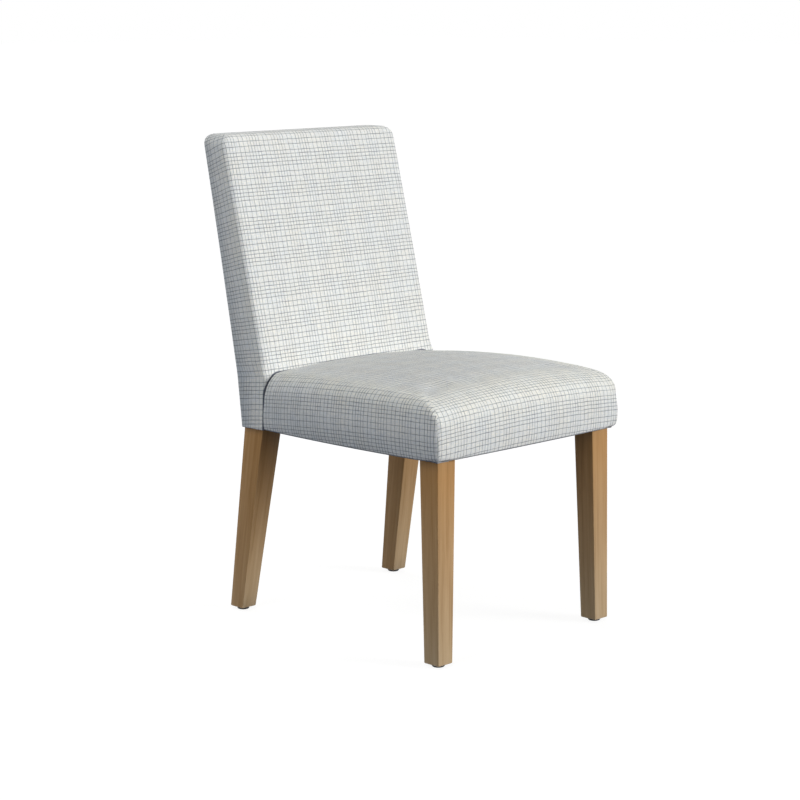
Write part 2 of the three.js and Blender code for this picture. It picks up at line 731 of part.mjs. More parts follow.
function addSeatCushion() {
  const wide = seatHalfFront + overrun;
  const below = (top) => boxBetween([-wide, seatFront - overrun, -overrun], [wide, seatEnd + overrun, top]);
  const foamSpace = cut(seatForm(layerInset + seatWaddingThickness), below(seatFoamBottom - clearance));
  const foamBlock = cut(seatForm(seatFoamInset), below(seatFoamBottom), behindBack());
  const waddingWrap = cut(seatForm(layerInset), foamSpace, frameSpace(seatFoamBottom), behindBack());
  const openFront = seatHalfFront - coverReturn;
  const openRear = seatHalfRear - coverReturn;
  const opening = [
    [-openFront, seatFront + coverReturn],
    [openFront, seatFront + coverReturn],
    [openRear, seatEnd + overrun],
    [-openRear, seatEnd + overrun],
  ];
  const underOpening = upPrism(opening, -overrun, railBottom);
  const legs = [-1, 1].map((side) => frontLegShape(side, clearance));
  const cover = cut(seatForm(0), seatForm(coverThickness), underOpening, ...legs, behindBack());
  addPiece(seatFrame, "seat_foam", foamBlock, foam);
  addPiece(seatFrame, "seat_wadding", waddingWrap, wadding);
  addPiece(seatFrame, "seat_cover", cover, fabric);
}
addSeatCushion();

function addDustCover() {
  const front = frontLegSpread - dustCoverInset;
  const rear = rearLegSpread - dustCoverInset;
  const outline = [
    [-front, dustCoverInset],
    [front, dustCoverInset],
    [rear, rearLegRear - dustCoverInset],
    [-rear, rearLegRear - dustCoverInset],
  ];
  const sheet = upPrism(outline, -clearance - dustCoverThickness, -clearance);
  const legs = [-1, 1].flatMap((side) => [frontLegShape(side, clearance), rearLegShape(side, clearance)]);
  addPiece(seatFrame, "dust_cover", cut(sheet, ...legs), cambric);
}
addDustCover();

// Back cushion: level rings with rounded corners, shrunk by an inset
function backRing(height, inset, cornerIn, edgeIn) {
  const half = backHalf(height) - inset - cornerIn;
  const front = backFront(height) + inset + edgeIn;
  const rear = backRear(height) - inset - edgeIn;
  const pastSeam = THREE.MathUtils.clamp((height - backKnee) / (seatTopHeight - backKnee), 0, 1);
  const frontRadius = Math.max(lerp(backSeamRadius, backEdgeRadius, pastSeam) - inset, clearance);
  const rearRadius = Math.max(backEdgeRadius - inset, clearance);
  const aboveSeat = (height - seatTopHeight) / (backTop - seatTopHeight);
  const swell = aboveSeat > 0 ? arch(Math.min(aboveSeat, 1)) : 0;
  const corner = (sign, radius, centreY, firstAngle) =>
    Array.from({ length: cornerSteps + 1 }, (_, i) => {
      const angle = ((firstAngle + i / cornerSteps) * Math.PI) / 2;
      return [sign * (half - radius) + radius * Math.cos(angle), centreY + radius * Math.sin(angle), height];
    });
  const face = (sign, radius, y, crown) =>
    Array.from({ length: backFaceSteps - 1 }, (_, i) => {
      const share = (2 * (i + 1)) / backFaceSteps - 1;
      return [sign * share * (half - radius), y + crown * swell * (1 - share ** 2), height];
    });
  return [
    ...corner(-1, rearRadius, rear - rearRadius, 1),
    ...corner(-1, frontRadius, front + frontRadius, 2),
    ...face(1, frontRadius, front, -backFrontCrown),
    ...corner(1, frontRadius, front + frontRadius, 3),
    ...corner(1, rearRadius, rear - rearRadius, 4),
    ...face(-1, rearRadius, rear, backRearCrown),
  ];
}

function backForm(inset, bottom) {
  const cornerRadius = Math.max(backCornerRadius - inset, clearance);
  const edgeRadius = Math.max(backTopRadius - inset, clearance);
  const shoulder = backTop - inset - cornerRadius;
  const heights = [bottom, backKnee, ...backHeightShares.map((share) => lerp(backKnee, shoulder, share))];
  const rings = heights.map((height) => backRing(height, inset, 0, 0));
  for (let i = 0; i <= roundSteps; i++) {
    const angle = (i / roundSteps) * (Math.PI / 2);
    const height = shoulder + cornerRadius * Math.sin(angle);
    const rise = Math.max(height - (backTop - inset - edgeRadius), 0);
    const edgeIn = edgeRadius - Math.sqrt(Math.max(edgeRadius ** 2 - rise ** 2, 0));
    rings.push(backRing(height, inset, cornerRadius * (1 - Math.cos(angle)), edgeIn));
  }
  const centre = (height) => [0, (backFront(height) + backRear(height)) / 2, height];
  return loft(rings, centre(bottom), centre(backTop - inset));
}

// The rear panel's place in the cover, with room around it
function rearPanelSpace(room) {
  const top = backTop - rearPanelInset + room;
  const heights = [-overrun, backKnee, ...backHeightShares.map((share) => lerp(backKnee, top, share)), top];
  const rings = heights.map((height) => {
    const half = backHalf(height) - rearPanelInset + room;
    const inner = backRear(height) - 2 * coverThickness;
    const outer = backRear(height) + overrun;
    return [[-half, inner, height], [half, inner, height], [half, outer, height], [-half, outer, height]];
  });
  return loft(rings, [0, backRear(-overrun), -overrun], [0, backRear(top), top]);
}

function addBackCushion() {
  const passageHalf = railOuter(backFrontAtKnee) + clearance;
  const passage = boxBetween(
    [-passageHalf, backFrontAtKnee - overrun, -overrun],
    [passageHalf, rearLegRear + clearance, seatFoamBottom],
  );
  const skin = cut(backForm(0, 0), backForm(coverThickness, -overrun));
  const sleeve = cut(backForm(layerInset, 0), backForm(layerInset + backWaddingThickness, -overrun), passage);
  const strapPlane = (strapStack + clearance) / Math.cos(postLean);
  const foamFace = (height) => {
    const share = (height - backKnee) / (postTop - backKnee);
    return lerp(postFrontAtKnee, postFrontAtTop, share) - strapPlane;
  };
  const foamFoot = seatFoamBottom + clearance;
  const foamStep = postTop + clearance;
  const foamOutline = [
    [backFrontAtKnee - overrun, foamFoot],
    [foamFace(foamFoot), foamFoot],
    [foamFace(foamStep), foamStep],
    [backRear(backTop) + overrun, foamStep],
    [backRear(backTop) + overrun, backTop],
    [backFrontAtKnee - overrun, backTop],
  ];
  const foamSpace = acrossPrism(foamOutline, -backHalfAtSeat, backHalfAtSeat);
  addPiece(seatFrame, "back_foam", shared(backForm(backFoamInset, 0), foamSpace), foam);
  addPiece(seatFrame, "back_wadding", sleeve, wadding);
  addPiece(seatFrame, "back_cover", cut(skin, passage, rearPanelSpace(clearance)), fabric);
  addPiece(seatFrame, "back_panel_rear", shared(skin, rearPanelSpace(0)), fabric);
}
addBackCushion();

// Tack strips behind the posts and the top rail, which hold the rear panel's edges
function addTackStrips() {
  const lean = Math.atan2(postRearAtTop - postRearAtKnee, postTop - backKnee);
  const length = Math.hypot(postRearAtTop - postRearAtKnee, postTop - backKnee);
  const rearFace = new THREE.Matrix4().makeRotationX(-lean).setPosition(0, postRearAtKnee, backKnee);
  const near = clearance;
  const far = clearance + tackStripThickness;
  const bottom = lowerRailPlace;
  const top = length - topRailDrop;
  const outer = (along) => postOuter(backKnee + along * Math.cos(lean)) - tackStripMargin;
  for (const [side, sign] of Object.entries(sides)) {
    const outline = [
      [sign * outer(bottom), bottom],
      [sign * outer(top), top],
      [sign * (outer(top) - tackStripWidth), top],
      [sign * (outer(bottom) - tackStripWidth), bottom],
    ];
    addPiece(seatFrame, "tack_strip_" + side, alongPrism(outline, near, far), card, rearFace);
  }
  const half = Math.min(outer(top - tackStripWidth), outer(top)) - tackStripWidth - clearance;
  const strip = boxBetween([-half, near, top - tackStripWidth], [half, far, top]);
  addPiece(seatFrame, "tack_strip_top", strip, card, rearFace);
}
addTackStrips();

// The origin lies on the floor, under the middle of the chair.
const extent = new THREE.Box3().setFromObject(chair, true);
chair.position.y = -(extent.min.y + extent.max.y) / 2;

export default chair;
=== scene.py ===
import json
from collections import namedtuple
from itertools import product
from math import atan2, cos, hypot, pi, radians, sin, sqrt, tan, tanh

import bpy
from mathutils import Matrix, Vector, noise


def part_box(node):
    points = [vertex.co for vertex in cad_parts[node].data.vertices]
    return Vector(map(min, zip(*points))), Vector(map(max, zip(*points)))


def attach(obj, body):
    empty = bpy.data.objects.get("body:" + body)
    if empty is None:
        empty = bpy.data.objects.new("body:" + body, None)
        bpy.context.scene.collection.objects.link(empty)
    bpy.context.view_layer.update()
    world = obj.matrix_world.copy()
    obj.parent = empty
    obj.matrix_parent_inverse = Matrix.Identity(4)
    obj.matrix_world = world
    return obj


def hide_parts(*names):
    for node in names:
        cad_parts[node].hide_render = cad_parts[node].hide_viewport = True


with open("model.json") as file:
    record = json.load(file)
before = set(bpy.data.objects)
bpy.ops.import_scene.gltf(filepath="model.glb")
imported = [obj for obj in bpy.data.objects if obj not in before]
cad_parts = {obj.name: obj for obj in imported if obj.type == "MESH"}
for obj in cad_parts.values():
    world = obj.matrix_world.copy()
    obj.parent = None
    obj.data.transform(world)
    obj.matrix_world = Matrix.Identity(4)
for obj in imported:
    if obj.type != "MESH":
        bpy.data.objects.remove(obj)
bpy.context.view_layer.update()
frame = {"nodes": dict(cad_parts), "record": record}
BODY = "root"
MM = 0.001

# Stance
SEAT_PITCH = radians(0.876)
UNDERSIDE_HEIGHT = 337.2
GLIDE_HEIGHT = 5.0

# Legs
FRONT_SPREAD, FRONT_FOOT_SPREAD = 207.1, 208.9
FRONT_WIDTH, FRONT_FOOT_WIDTH = 40.2, 32.5
REAR_SPREAD, REAR_FOOT_SPREAD, POST_TOP_SPREAD = 199.4, 201.1, 198.9
REAR_WIDTH, REAR_DEPTH = 43.5, 46.7
REAR_FOOT_WIDTH, REAR_FOOT_DEPTH = 31.4, 31.4
REAR_PLACE, REAR_FOOT_PLACE = 421.0, 482.7
POST_TOP_WIDTH, POST_TOP = 32.0, 475.7
RAIL_TOP = 53.8
POST_STRAIGHT_TOP = 57.25
POST_FRONT_PAD, POST_REAR_PAD = 25.05, 9.9
LEG_EDGE, FOOT_EDGE = 1.3, 1.0
LEG_STEPS, LEG_EDGE_STEPS = 12, 3
LEG_SPLIT = radians(40)

# Seat cushion
SEAT_HALF_FRONT, SEAT_HALF_REAR = 220.8, 207.2
SEAT_FRONT, SEAT_PAST_BACK = -13.2, 12.0
SEAT_CORNER = 8.0
CORNER_GROWTH, CORNER_GROWS = 5.5, (28.0, 55.0)
CORNER_SLIDE = 42.0
CORNER_TUCK, CORNER_TUCK_RISE = 1.05, 1.0
SEAT_SIDE_BOW, SEAT_FRONT_BOW = 8.0, 3.2
SEAT_SIDE_BULGE, SEAT_FRONT_BULGE, SEAT_CORNER_BULGE = 5.7, 3.5, 2.0
SEAT_EDGE_HEIGHT = 94.5
SEAT_LENGTH_CROWN, SEAT_WIDTH_CROWN = 11.0, 8.0
SIDE_ROUND, SIDE_ROUND_REAR = (27.0, 30.0), (37.0, 47.0)
ROUND_GROWS_FROM = 180.0
FRONT_ROUND = (62.0, 45.0)
SEAT_TUCK, WALL_START = 3.5, 5.0
SEAM_CURL = 4.0
COVER_THICKNESS, COVER_RETURN = 1.5, 30.0
CLEARANCE = 0.3
FRONT_STEPS, SIDE_STEPS, CORNER_STEPS = 80, 76, 4
WALL_STEPS, ROUND_STEPS = 12, 14
BULGE_SKEW, BULGE_REACH, BULGE_FULLNESS = 0.75, 0.86, 0.9
FIT_POWER = 4
END_PLACES, SIDE_START = [0.0, 0.3, 0.8, 1.6, 3.0, 5.0], 8.0

# Back cushion
BACK_SIDE_PAD = 6.9
BACK_TOP, BACK_KNEE = 496.2, 89.4
BACK_FRONT = (411.7, 406.5, 502.9)
BACK_DEPTH = (61.5, 76.0, 56.2)
BACK_BOW = 1.2
BACK_FRONT_CROWN, BACK_REAR_CROWN = 2.0, 1.5
BACK_FRONT_EDGE, BACK_EDGE, BACK_SEAM_EDGE = 12.5, 10.5, 3.0
BACK_CORNER, BACK_TOP_EDGE = 20.0, 10.0
BACK_ACROSS, BACK_DEEP, BACK_ARC = 64, 14, 3
BACK_LOWEST, BACK_LOW = [0.0, 2.0], 6.0
LOW_ROWS, TALL_ROWS, TOP_ROWS = 16, 60, 10
BACK_SHOULDER = BACK_TOP - BACK_CORNER
RAKE = atan2(BACK_FRONT[2] - BACK_FRONT[1], BACK_TOP - BACK_KNEE)
SIDES = ("front", "right", "rear", "left")

# Rear panel, which stands a little proud, and dust cover
PANEL_INSET, PANEL_POST_GAP = 10.0, 0.5
PANEL_RISE, PANEL_SINK, PANEL_SLOPE = 0.9, 0.4, 2.0
PANEL_TURNED = ((16.0, -0.25), (1.5, -0.25), (0.6, -0.1))
PANEL_LOWEST, PANEL_LOW = [0.0, 1.0], 3.0
PANEL_ACROSS, PANEL_UP = 60, 70
HEM, HEM_DOUBLED, HEM_DROP = 12.0, 11.7, 0.35
HEM_PLACES = (0.0, 0.5, 11.3, HEM)
DUST_INSET, DUST_DROP, DUST_THICKNESS = 6.0, 0.7, 0.5
DUST_SAG, DUST_FLATNESS = 2.2, 0.6
DUST_RIPPLE, RIPPLE_ACROSS, RIPPLE_ALONG, RIPPLE_PLACE = 0.35, 0.03, 0.02, 4.0
DUST_ACROSS, DUST_ALONG = 54, 62

# Covers as cloth
SEAT_PRESSURE, BACK_PRESSURE = 1.2, 0.12
CLOTH_SETTINGS = {
    "quality": 6,
    "mass": 0.35,
    "tension_stiffness": 60.0,
    "compression_stiffness": 60.0,
    "shear_stiffness": 30.0,
    "bending_stiffness": 12.0,
    "use_pressure": True,
}
CLOTH_FRAMES, SWELL_LIMIT = 20, 2.0
START_INSET, START_UNEVEN, START_GRAIN = 0.5, 0.7, 16.0
HELD_HEIGHT, HELD_FADE = 4.0, 30.0

# Print: its repeat, the places of its lines in it and half a line's width, where it starts on each cover, how
# it is squeezed over the seat, and how it falls along the back's sides
REPEAT = 55.9
ACROSS_LINES = (0.0, 6.5, 13.0, 19.5, 26.1, 36.7, 45.5)
DOWN_LINES = (0.0, 6.5, 13.0, 19.5, 26.0, 36.4, 46.1)
LINE_HALF, LINE_SHIFT = 0.72, 2.5
SEAT_PRINT, BACK_PRINT = (-184.0, -236.4), (-151.0, -566.1)
SEAT_SQUEEZE, ROUND_SQUEEZE, STRAIGHTENED = 1.06, 1.083, 0.8
ACROSS_SQUEEZE, ACROSS_SHIFT = 1.0235, 3.67
LEFT_LINE, LEFT_LINE_RISE, LEFT_LINE_FALL = 62.1, 0.0072, 0.00014
LEFT_PLACE, LEFT_BLEND = -239.9, -60.0
SIDE_FALL, SIDE_FALL_HEIGHTS, SIDE_FALL_BACK = (radians(7), radians(20)), (120.0, 480.0), 0.24

# Painted shade: a dark line in the crevice where the seat meets the back, and a weaker one along the seat's
# bottom hem, by the distance from it in millimetres: dark up to one, faded out at the other
FAR = 40.0
PAINTED_SHADE_DARK, PAINTED_SHADE_FADED = 2.8, 4.2
SEAT_SHADE_SHIFT = 1.8
HEM_SHADE, HEM_SHADE_TOP = 3.4, 3.4
TOP_SHADE_INNER, TOP_SHADE_OUTER, TOP_SHADE_FADE = 120.0, 210.0, 3.0

# Painted light and shade on the covers where they turn over an edge, by height, from -1 (painted shade) to 1
# (painted highlight)
PAINTED_LIGHT_SIDE = ((0, -0.2), (25, -0.38), (45, -0.15), (60, 0.15), (80, 0.55), (95, 0.75))
PAINTED_LIGHT_REAR = ((0, -0.2), (25, -0.5), (45, -0.5), (70, -0.35), (85, 0.1), (95, 0.75))
PAINTED_LIGHT_FRONT = ((0, 0.0), (40, 0.0), (60, 0.35), (95, 0.65))
PAINTED_LIGHT_REACH, PAINTED_LIGHT_REAR_FROM, PAINTED_LIGHT_REAR_OVER, PAINTED_LIGHT_CORNER = 60.0, 0.5, 0.35, 20.0
SIDE_BLEND, LOW_PAINTED_SHADE, LOW_PAINTED_SHADE_TOP = 4.0, 0.4, 200.0
# Cut to the painted floor light on the rear legs' side faces, and strength of the painted seat shadow on
# their fronts
REAR_SIDE_FLOOR_LIGHT_CUT, REAR_FRONT_SHADE = 0.6, 1.0

# Colours
WHITE, BLACK = (1.0, 1.0, 1.0), (0.0, 0.0, 0.0)
THREAD_DULL, THREAD_BRIGHT, THREAD_GREY = (0.785, 0.785, 0.755), (1.0, 0.99, 0.95), (0.70, 0.71, 0.71)
FLECK_COOL, FLECK_WARM = (0.70, 0.74, 0.80), (0.95, 0.92, 0.84)
HUE_COOL, HUE_WARM = (0.985, 1.0, 1.016), (1.006, 1.0, 0.985)
INK_DARK, INK_PALE, INK_DOWN = (0.055, 0.070, 0.110), (0.11, 0.13, 0.16), (0.18, 0.195, 0.218)
# Colour of the painted shade in the crevice between seat and back and under the seat's hem
PAINTED_SHADE_COLOUR = (0.030, 0.042, 0.080)
# Painted light on the covers: bluish painted shade up to a painted highlight
PAINTED_LIGHT_TONES = [(0, (0.70, 0.73, 0.77)), (0.45, (0.98, 0.98, 0.98)), (0.55, WHITE), (1, (1.12, 1.11, 1.06))]
THREAD_PITCH = 0.95 * MM
WOOD_FIGURE = [
    (0.28, (0.340, 0.170, 0.054)),
    (0.46, (0.415, 0.221, 0.077)),
    (0.56, (0.440, 0.238, 0.086)),
    (0.76, (0.500, 0.284, 0.110)),
]
# The first colour here paints reflected light from the floor on the legs: paler and bluer towards their feet
WOOD_PAINTED_FLOOR_LIGHT, WOOD_LIGHTER, WOOD_PORE = (1.06, 1.42, 2.35), (1.1, 1.1, 1.1), (0.55, 0.52, 0.5)
# Colour of the painted shadow of the seat on the rear legs' fronts
WOOD_SHADE = (0.73, 0.72, 0.70)
GRAIN_STEPS = (0.731, 0.417, 1.13)
ROUGHNESS_SPREAD, DULL_SHINE = 0.06, 0.2

# Camera and stage
CAMERA_PLACE, CAMERA_DOWN, CAMERA_TURN = (-2.67365, -2.38315, 1.05371), 10.21, -45
CAMERA_LENS, CAMERA_SENSOR = 100.62, 36.0
SUNS = (
    ("key", (0.49, -0.83, 0.23), 2.54, 25, (1.0, 0.99, 0.965)),
    ("rear", (0.25, 0.90, 0.08), 1.9, 70, WHITE),
    ("side", (-0.97, -0.20, 0.10), 0.48, 60, (0.98, 0.98, 1.0)),
)
FILL_PLACE, FILL_AIM = Vector((-2.0, -0.1, 2.4)), Vector((-0.1, 0.15, 0.5))
FILL_SIZE, FILL_POWER, FILL_COLOUR = 1.2, 11.5, (0.96, 0.98, 1.0)
SKY_LOW, SKY_HIGH = (0.10, 0.12, 0.16), (0.345, 0.35, 0.345)
FLOOR_SEEN, FLOOR_LIGHTING = (0.22, 0.22, 0.22), (0.07, 0.095, 0.15)
FLOOR_GLOW, FLOOR_HALF = 0.88, 40.0


def lerp(a, b, t):
    return a + (b - a) * t


def clamp(value, low=0.0, high=1.0):
    return max(low, min(high, value))


def blend(a, b, t):
    """A point between two others, or a range between two others."""
    return [lerp(p, q, t) for p, q in zip(a, b)]


def arch(t):
    return 4 * t * (1 - t)


def smooth(t):
    return t * t * (3 - 2 * t)


def between(stops, value):
    """The value of a broken line at a place, level beyond its ends."""
    if value <= stops[0][0]:
        return stops[0][1]
    for (a, low), (b, high) in zip(stops, stops[1:]):
        if value <= b:
            return lerp(low, high, (value - a) / (b - a))
    return stops[-1][1]


def level_at(floor_height, y):
    """Height in the seat's frame of a point at y that lies at the given height above the floor."""
    return (floor_height - UNDERSIDE_HEIGHT + y * sin(SEAT_PITCH)) / cos(SEAT_PITCH)


def chair_shift():
    """How far the seat's frame stands from the origin along Y, read from a front glide."""
    low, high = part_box("glide_front_left")
    y = FRONT_FOOT_WIDTH / 2
    own = y * cos(SEAT_PITCH) + level_at(GLIDE_HEIGHT, y) * sin(SEAT_PITCH)
    return (low[1] + high[1]) / 2 / MM - own


SHIFT = chair_shift()
SEAT_TO_WORLD = (
    Matrix.Scale(MM, 4)
    @ Matrix.Translation((0, SHIFT, UNDERSIDE_HEIGHT))
    @ Matrix.Rotation(-SEAT_PITCH, 4, "X")
)


# Meshes


def add_object(name, data):
    thing = bpy.data.objects.new(name, data)
    bpy.context.scene.collection.objects.link(thing)
    return thing


def new_piece(name, points, faces, stands_for, slot, uvs=None):
    """A mesh object from points in the seat's frame. uvs holds one pair for each corner of each face."""
    mesh = bpy.data.meshes.new(name)
    mesh.from_pydata([SEAT_TO_WORLD @ Vector(p) for p in points], [], faces)
    if uvs:
        flat = [value * MM for corners in uvs for pair in corners for value in pair]
        mesh.uv_layers.new(name="weave").data.foreach_set("uv", flat)
    mesh.validate()
    mesh.polygons.foreach_set("use_smooth", [True] * len(mesh.polygons))
    mesh.materials.append(materials[slot])
    piece = add_object(name, mesh)
    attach(piece, BODY)
    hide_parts(*stands_for)
    return piece


def add_thickness(piece, thickness, offset=-1.0):
    modifier = piece.modifiers.new("thickness", "SOLIDIFY")
    modifier.thickness = thickness * MM
    modifier.offset = offset


def add_values(piece, name, values, kind="FLOAT"):
    """A number, or a vector as three numbers, at each point, for the materials."""
    attribute = piece.data.attributes.new(name, kind, "POINT")
    attribute.data.foreach_set("value" if kind == "FLOAT" else "vector", values)


def swell(piece, held, pressure):
    """Lets a cover swell as cloth over its padding. Held points stay, and no point moves past the limit."""
    mesh = piece.data
    start = [vertex.co.copy() for vertex in mesh.vertices]
    outward = [vertex.normal.copy() for vertex in mesh.vertices]
    free = [1.0 - value for value in held]
    group = piece.vertex_groups.new(name="held")
    for vertex, normal, share, value in zip(mesh.vertices, outward, free, held):
        uneven = 1 + START_UNEVEN * noise.noise(vertex.co * START_GRAIN)
        vertex.co -= normal * (START_INSET * MM * share * uneven)
        if value > 0:
            group.add([vertex.index], value, "REPLACE")
    cloth = piece.modifiers.new("cloth", "CLOTH")
    for key, value in CLOTH_SETTINGS.items():
        setattr(cloth.settings, key, value)
    cloth.settings.uniform_pressure_force = pressure
    cloth.settings.effector_weights.gravity = 0
    cloth.settings.vertex_group_mass = group.name
    cloth.point_cache.frame_start = 1
    cloth.point_cache.frame_end = CLOTH_FRAMES
    scene = bpy.context.scene
    for number in range(1, CLOTH_FRAMES + 1):
        scene.frame_set(number)
    swollen = piece.evaluated_get(bpy.context.evaluated_depsgraph_get()).data
    steps = [vertex.co - first for vertex, first in zip(swollen.vertices, start)]
    piece.modifiers.remove(cloth)
    piece.vertex_groups.remove(group)
    average = sum(s.dot(n) * f for s, n, f in zip(steps, outward, free)) / sum(free)
    limit = SWELL_LIMIT * MM
    for vertex, first, step, normal, share in zip(mesh.vertices, start, steps, outward, free):
        step = step - normal * (average * share)
        length = step.length
        vertex.co = first + step * (limit * tanh(length / limit) / length if length else 0)
    scene.frame_set(1)
    mesh.update()


def coons(front, left, right, rear, i, j):
    """Point of the patch between four edges, at step i along the front and step j along the left."""
    s, t = i / (len(front) - 1), j / (len(left) - 1)
    edge, side = blend(front[i], rear[i], t), blend(left[j], right[j], s)
    both = blend(blend(front[0], front[-1], s), blend(rear[0], rear[-1], s), t)
    return [a + b - c for a, b, c in zip(edge, side, both)]


class Skin:
    """A cover of walls, which are rows of columns of points, closed on top by a grid. Each face knows its
    place on the cloth, and each point how far it lies from a line of painted shade and from the cover's end."""

    def __init__(self, walls, next_wall, distances):
        self.walls, self.next_wall, self.distances = walls, next_wall, distances
        self.points, self.faces, self.uvs, self.seams, self.ends, self.numbers = [], [], [], [], [], {}

    def add(self, point, seam=FAR, end=FAR):
        self.points.append(point)
        self.seams.append(min(seam, FAR))
        self.ends.append(end)
        return len(self.points) - 1

    def number(self, wall, i, k):
        """The number of a wall's point. A wall's last column is the next wall's first."""
        if i == len(self.walls[wall]) - 1 and wall in self.next_wall:
            wall, i = self.next_wall[wall], 0
        if (wall, i, k) not in self.numbers:
            self.numbers[wall, i, k] = self.add(self.walls[wall][i][k], *self.distances(wall, i, k))
        return self.numbers[wall, i, k]

    def face(self, i, j, number, weave):
        corners = [(i, j), (i + 1, j), (i + 1, j + 1), (i, j + 1)]
        self.faces.append([number(*c) for c in corners])
        self.uvs.append([weave(*c) for c in corners])

    def build_wall(self, wall, weave, left_out=lambda i, k: False):
        columns = self.walls[wall]
        for i, k in product(range(len(columns) - 1), range(len(columns[0]) - 1)):
            if not left_out(i, k):
                self.face(i, k, lambda *c: self.number(wall, *c), weave)

    def build_top(self, edges, raised, weave):
        """Closes the top between its front, left, right and rear edges. raised lifts an inner point."""
        across, along = len(edges[0]) - 1, len(edges[1]) - 1
        last = len(self.walls["front"][0]) - 1
        rims = {
            "front": [(i, 0) for i in range(across + 1)],
            "right": [(across, j) for j in range(along + 1)],
            "rear": [(across - i, along) for i in range(across + 1)],
            "left": [(0, along - j) for j in range(along + 1)],
        }
        grid = {}
        for wall in self.walls:
            grid.update((place, self.number(wall, n, last)) for n, place in enumerate(rims[wall]))
        for place in product(range(across + 1), range(along + 1)):
            if place not in grid:
                grid[place] = self.add(*raised(coons(*edges, *place), place[1]))
        for i, j in product(range(across), range(along)):
            self.face(i, j, lambda *c: grid[c], lambda *c: weave(self.points[grid[c]], *c))


def held_share(distance):
    """How firmly a cover is held at a distance from a sewn or tacked edge."""
    return clamp(1 - distance / HELD_FADE) ** 2


def make_cushion(name, skin, print_start, stands_for, shades, held, pressure):
    """A padded cover. shades holds functions of a point, by the names that the material knows."""
    uvs = [[(p - print_start[0], q - print_start[1]) for p, q in corners] for corners in skin.uvs]
    cushion = new_piece(name, skin.points, skin.faces, stands_for, "cover_fabric", uvs)
    add_values(cushion, "seam", skin.seams)
    for shade, value_at in shades.items():
        add_values(cushion, shade, [value_at(point) for point in skin.points])
    swell(cushion, held, pressure)
    add_thickness(cushion, COVER_THICKNESS)


# Lines that the seat and the back share


def back_line(height, values, bow):
    """A value at a height on the back, from its values at the foot, the knee and the top."""
    foot, knee, top = values
    if height < BACK_KNEE:
        return lerp(foot, knee, height / BACK_KNEE)
    t = (height - BACK_KNEE) / (BACK_TOP - BACK_KNEE)
    return lerp(knee, top, t) - bow * arch(t)


def back_front(height):
    return back_line(height, BACK_FRONT, BACK_BOW)


def back_rear(height):
    return back_front(height) + back_line(height, BACK_DEPTH, 0)


def post_share(height):
    """Share of the way up the rear legs' tapered posts."""
    return (height - POST_STRAIGHT_TOP) / (POST_TOP - POST_STRAIGHT_TOP)


def back_half(height):
    share = post_share(max(height, POST_STRAIGHT_TOP))
    return lerp(REAR_SPREAD, POST_TOP_SPREAD, share) + BACK_SIDE_PAD


SEAT_LENGTH = BACK_FRONT[0] - SEAT_FRONT
SEAT_END = BACK_FRONT[0] + SEAT_PAST_BACK
CORNER_X, CORNER_Y = SEAT_HALF_FRONT - SEAT_CORNER, SEAT_FRONT + SEAT_CORNER


def seat_share(y):
    return clamp((y - SEAT_FRONT) / SEAT_LENGTH)


def seat_half(y):
    """Half the seat's width at its bottom edge, with the sides' bow."""
    share = seat_share(y)
    return lerp(SEAT_HALF_FRONT, SEAT_HALF_REAR, share) + SEAT_SIDE_BOW * arch(share)


def seat_top(x, y):
    along = 2 * (y - SEAT_FRONT) / SEAT_LENGTH - 1
    across = x / (SEAT_HALF_FRONT - SIDE_ROUND[0])
    return SEAT_EDGE_HEIGHT + SEAT_LENGTH_CROWN * (1 - along**2) + SEAT_WIDTH_CROWN * (1 - across**2)


SEAT_TOP = SEAT_EDGE_HEIGHT + SEAT_LENGTH_CROWN + SEAT_WIDTH_CROWN


def shade_fade(x):
    """Distance that is added to the painted shade's distance along the top, where the painted shade fades
    towards the middle.
    """
    return TOP_SHADE_FADE * (1 - clamp((abs(x) - TOP_SHADE_INNER) / (TOP_SHADE_OUTER - TOP_SHADE_INNER)))


# Seat cushion: stations stand along its outline, and a column of points rises from each. out is the way
# out of the outline, inward the way in which its corner grows, corner and front are shares, and end is the
# distance from the seat's end.

Station = namedtuple("Station", "x y out inward corner bulge front end", defaults=[FAR])


def side_station(end):
    y = BACK_FRONT[0] - end
    corner = max(0.0, 1 - (y - CORNER_Y) / CORNER_SLIDE)
    bulge = lerp(SEAT_CORNER_BULGE, SEAT_SIDE_BULGE, arch(seat_share(y)))
    return Station(-seat_half(y), y, (-1.0, 0.0), (0.0, corner), corner, bulge, 0.0, end)


def corner_station(share):
    angle = share * pi / 2
    out = (-cos(angle), -sin(angle))
    x, y = -CORNER_X + out[0] * SEAT_CORNER, CORNER_Y + out[1] * SEAT_CORNER
    return Station(x, y, out, (1 + out[0], 1 + out[1]), 1.0, SEAT_CORNER_BULGE, share)


def front_station(x):
    share = 1 - (x / CORNER_X) ** 2
    corner = max(0.0, 1 - (x + CORNER_X) / CORNER_SLIDE)
    bulge = lerp(SEAT_CORNER_BULGE, SEAT_FRONT_BULGE, share)
    return Station(x, SEAT_FRONT - SEAT_FRONT_BOW * share, (0.0, -1.0), (corner, 0.0), corner, bulge, 1.0)


def mirrored(place):
    out, inward = ((-x, y) for x, y in (place.out, place.inward))
    return place._replace(x=-place.x, out=out, inward=inward)


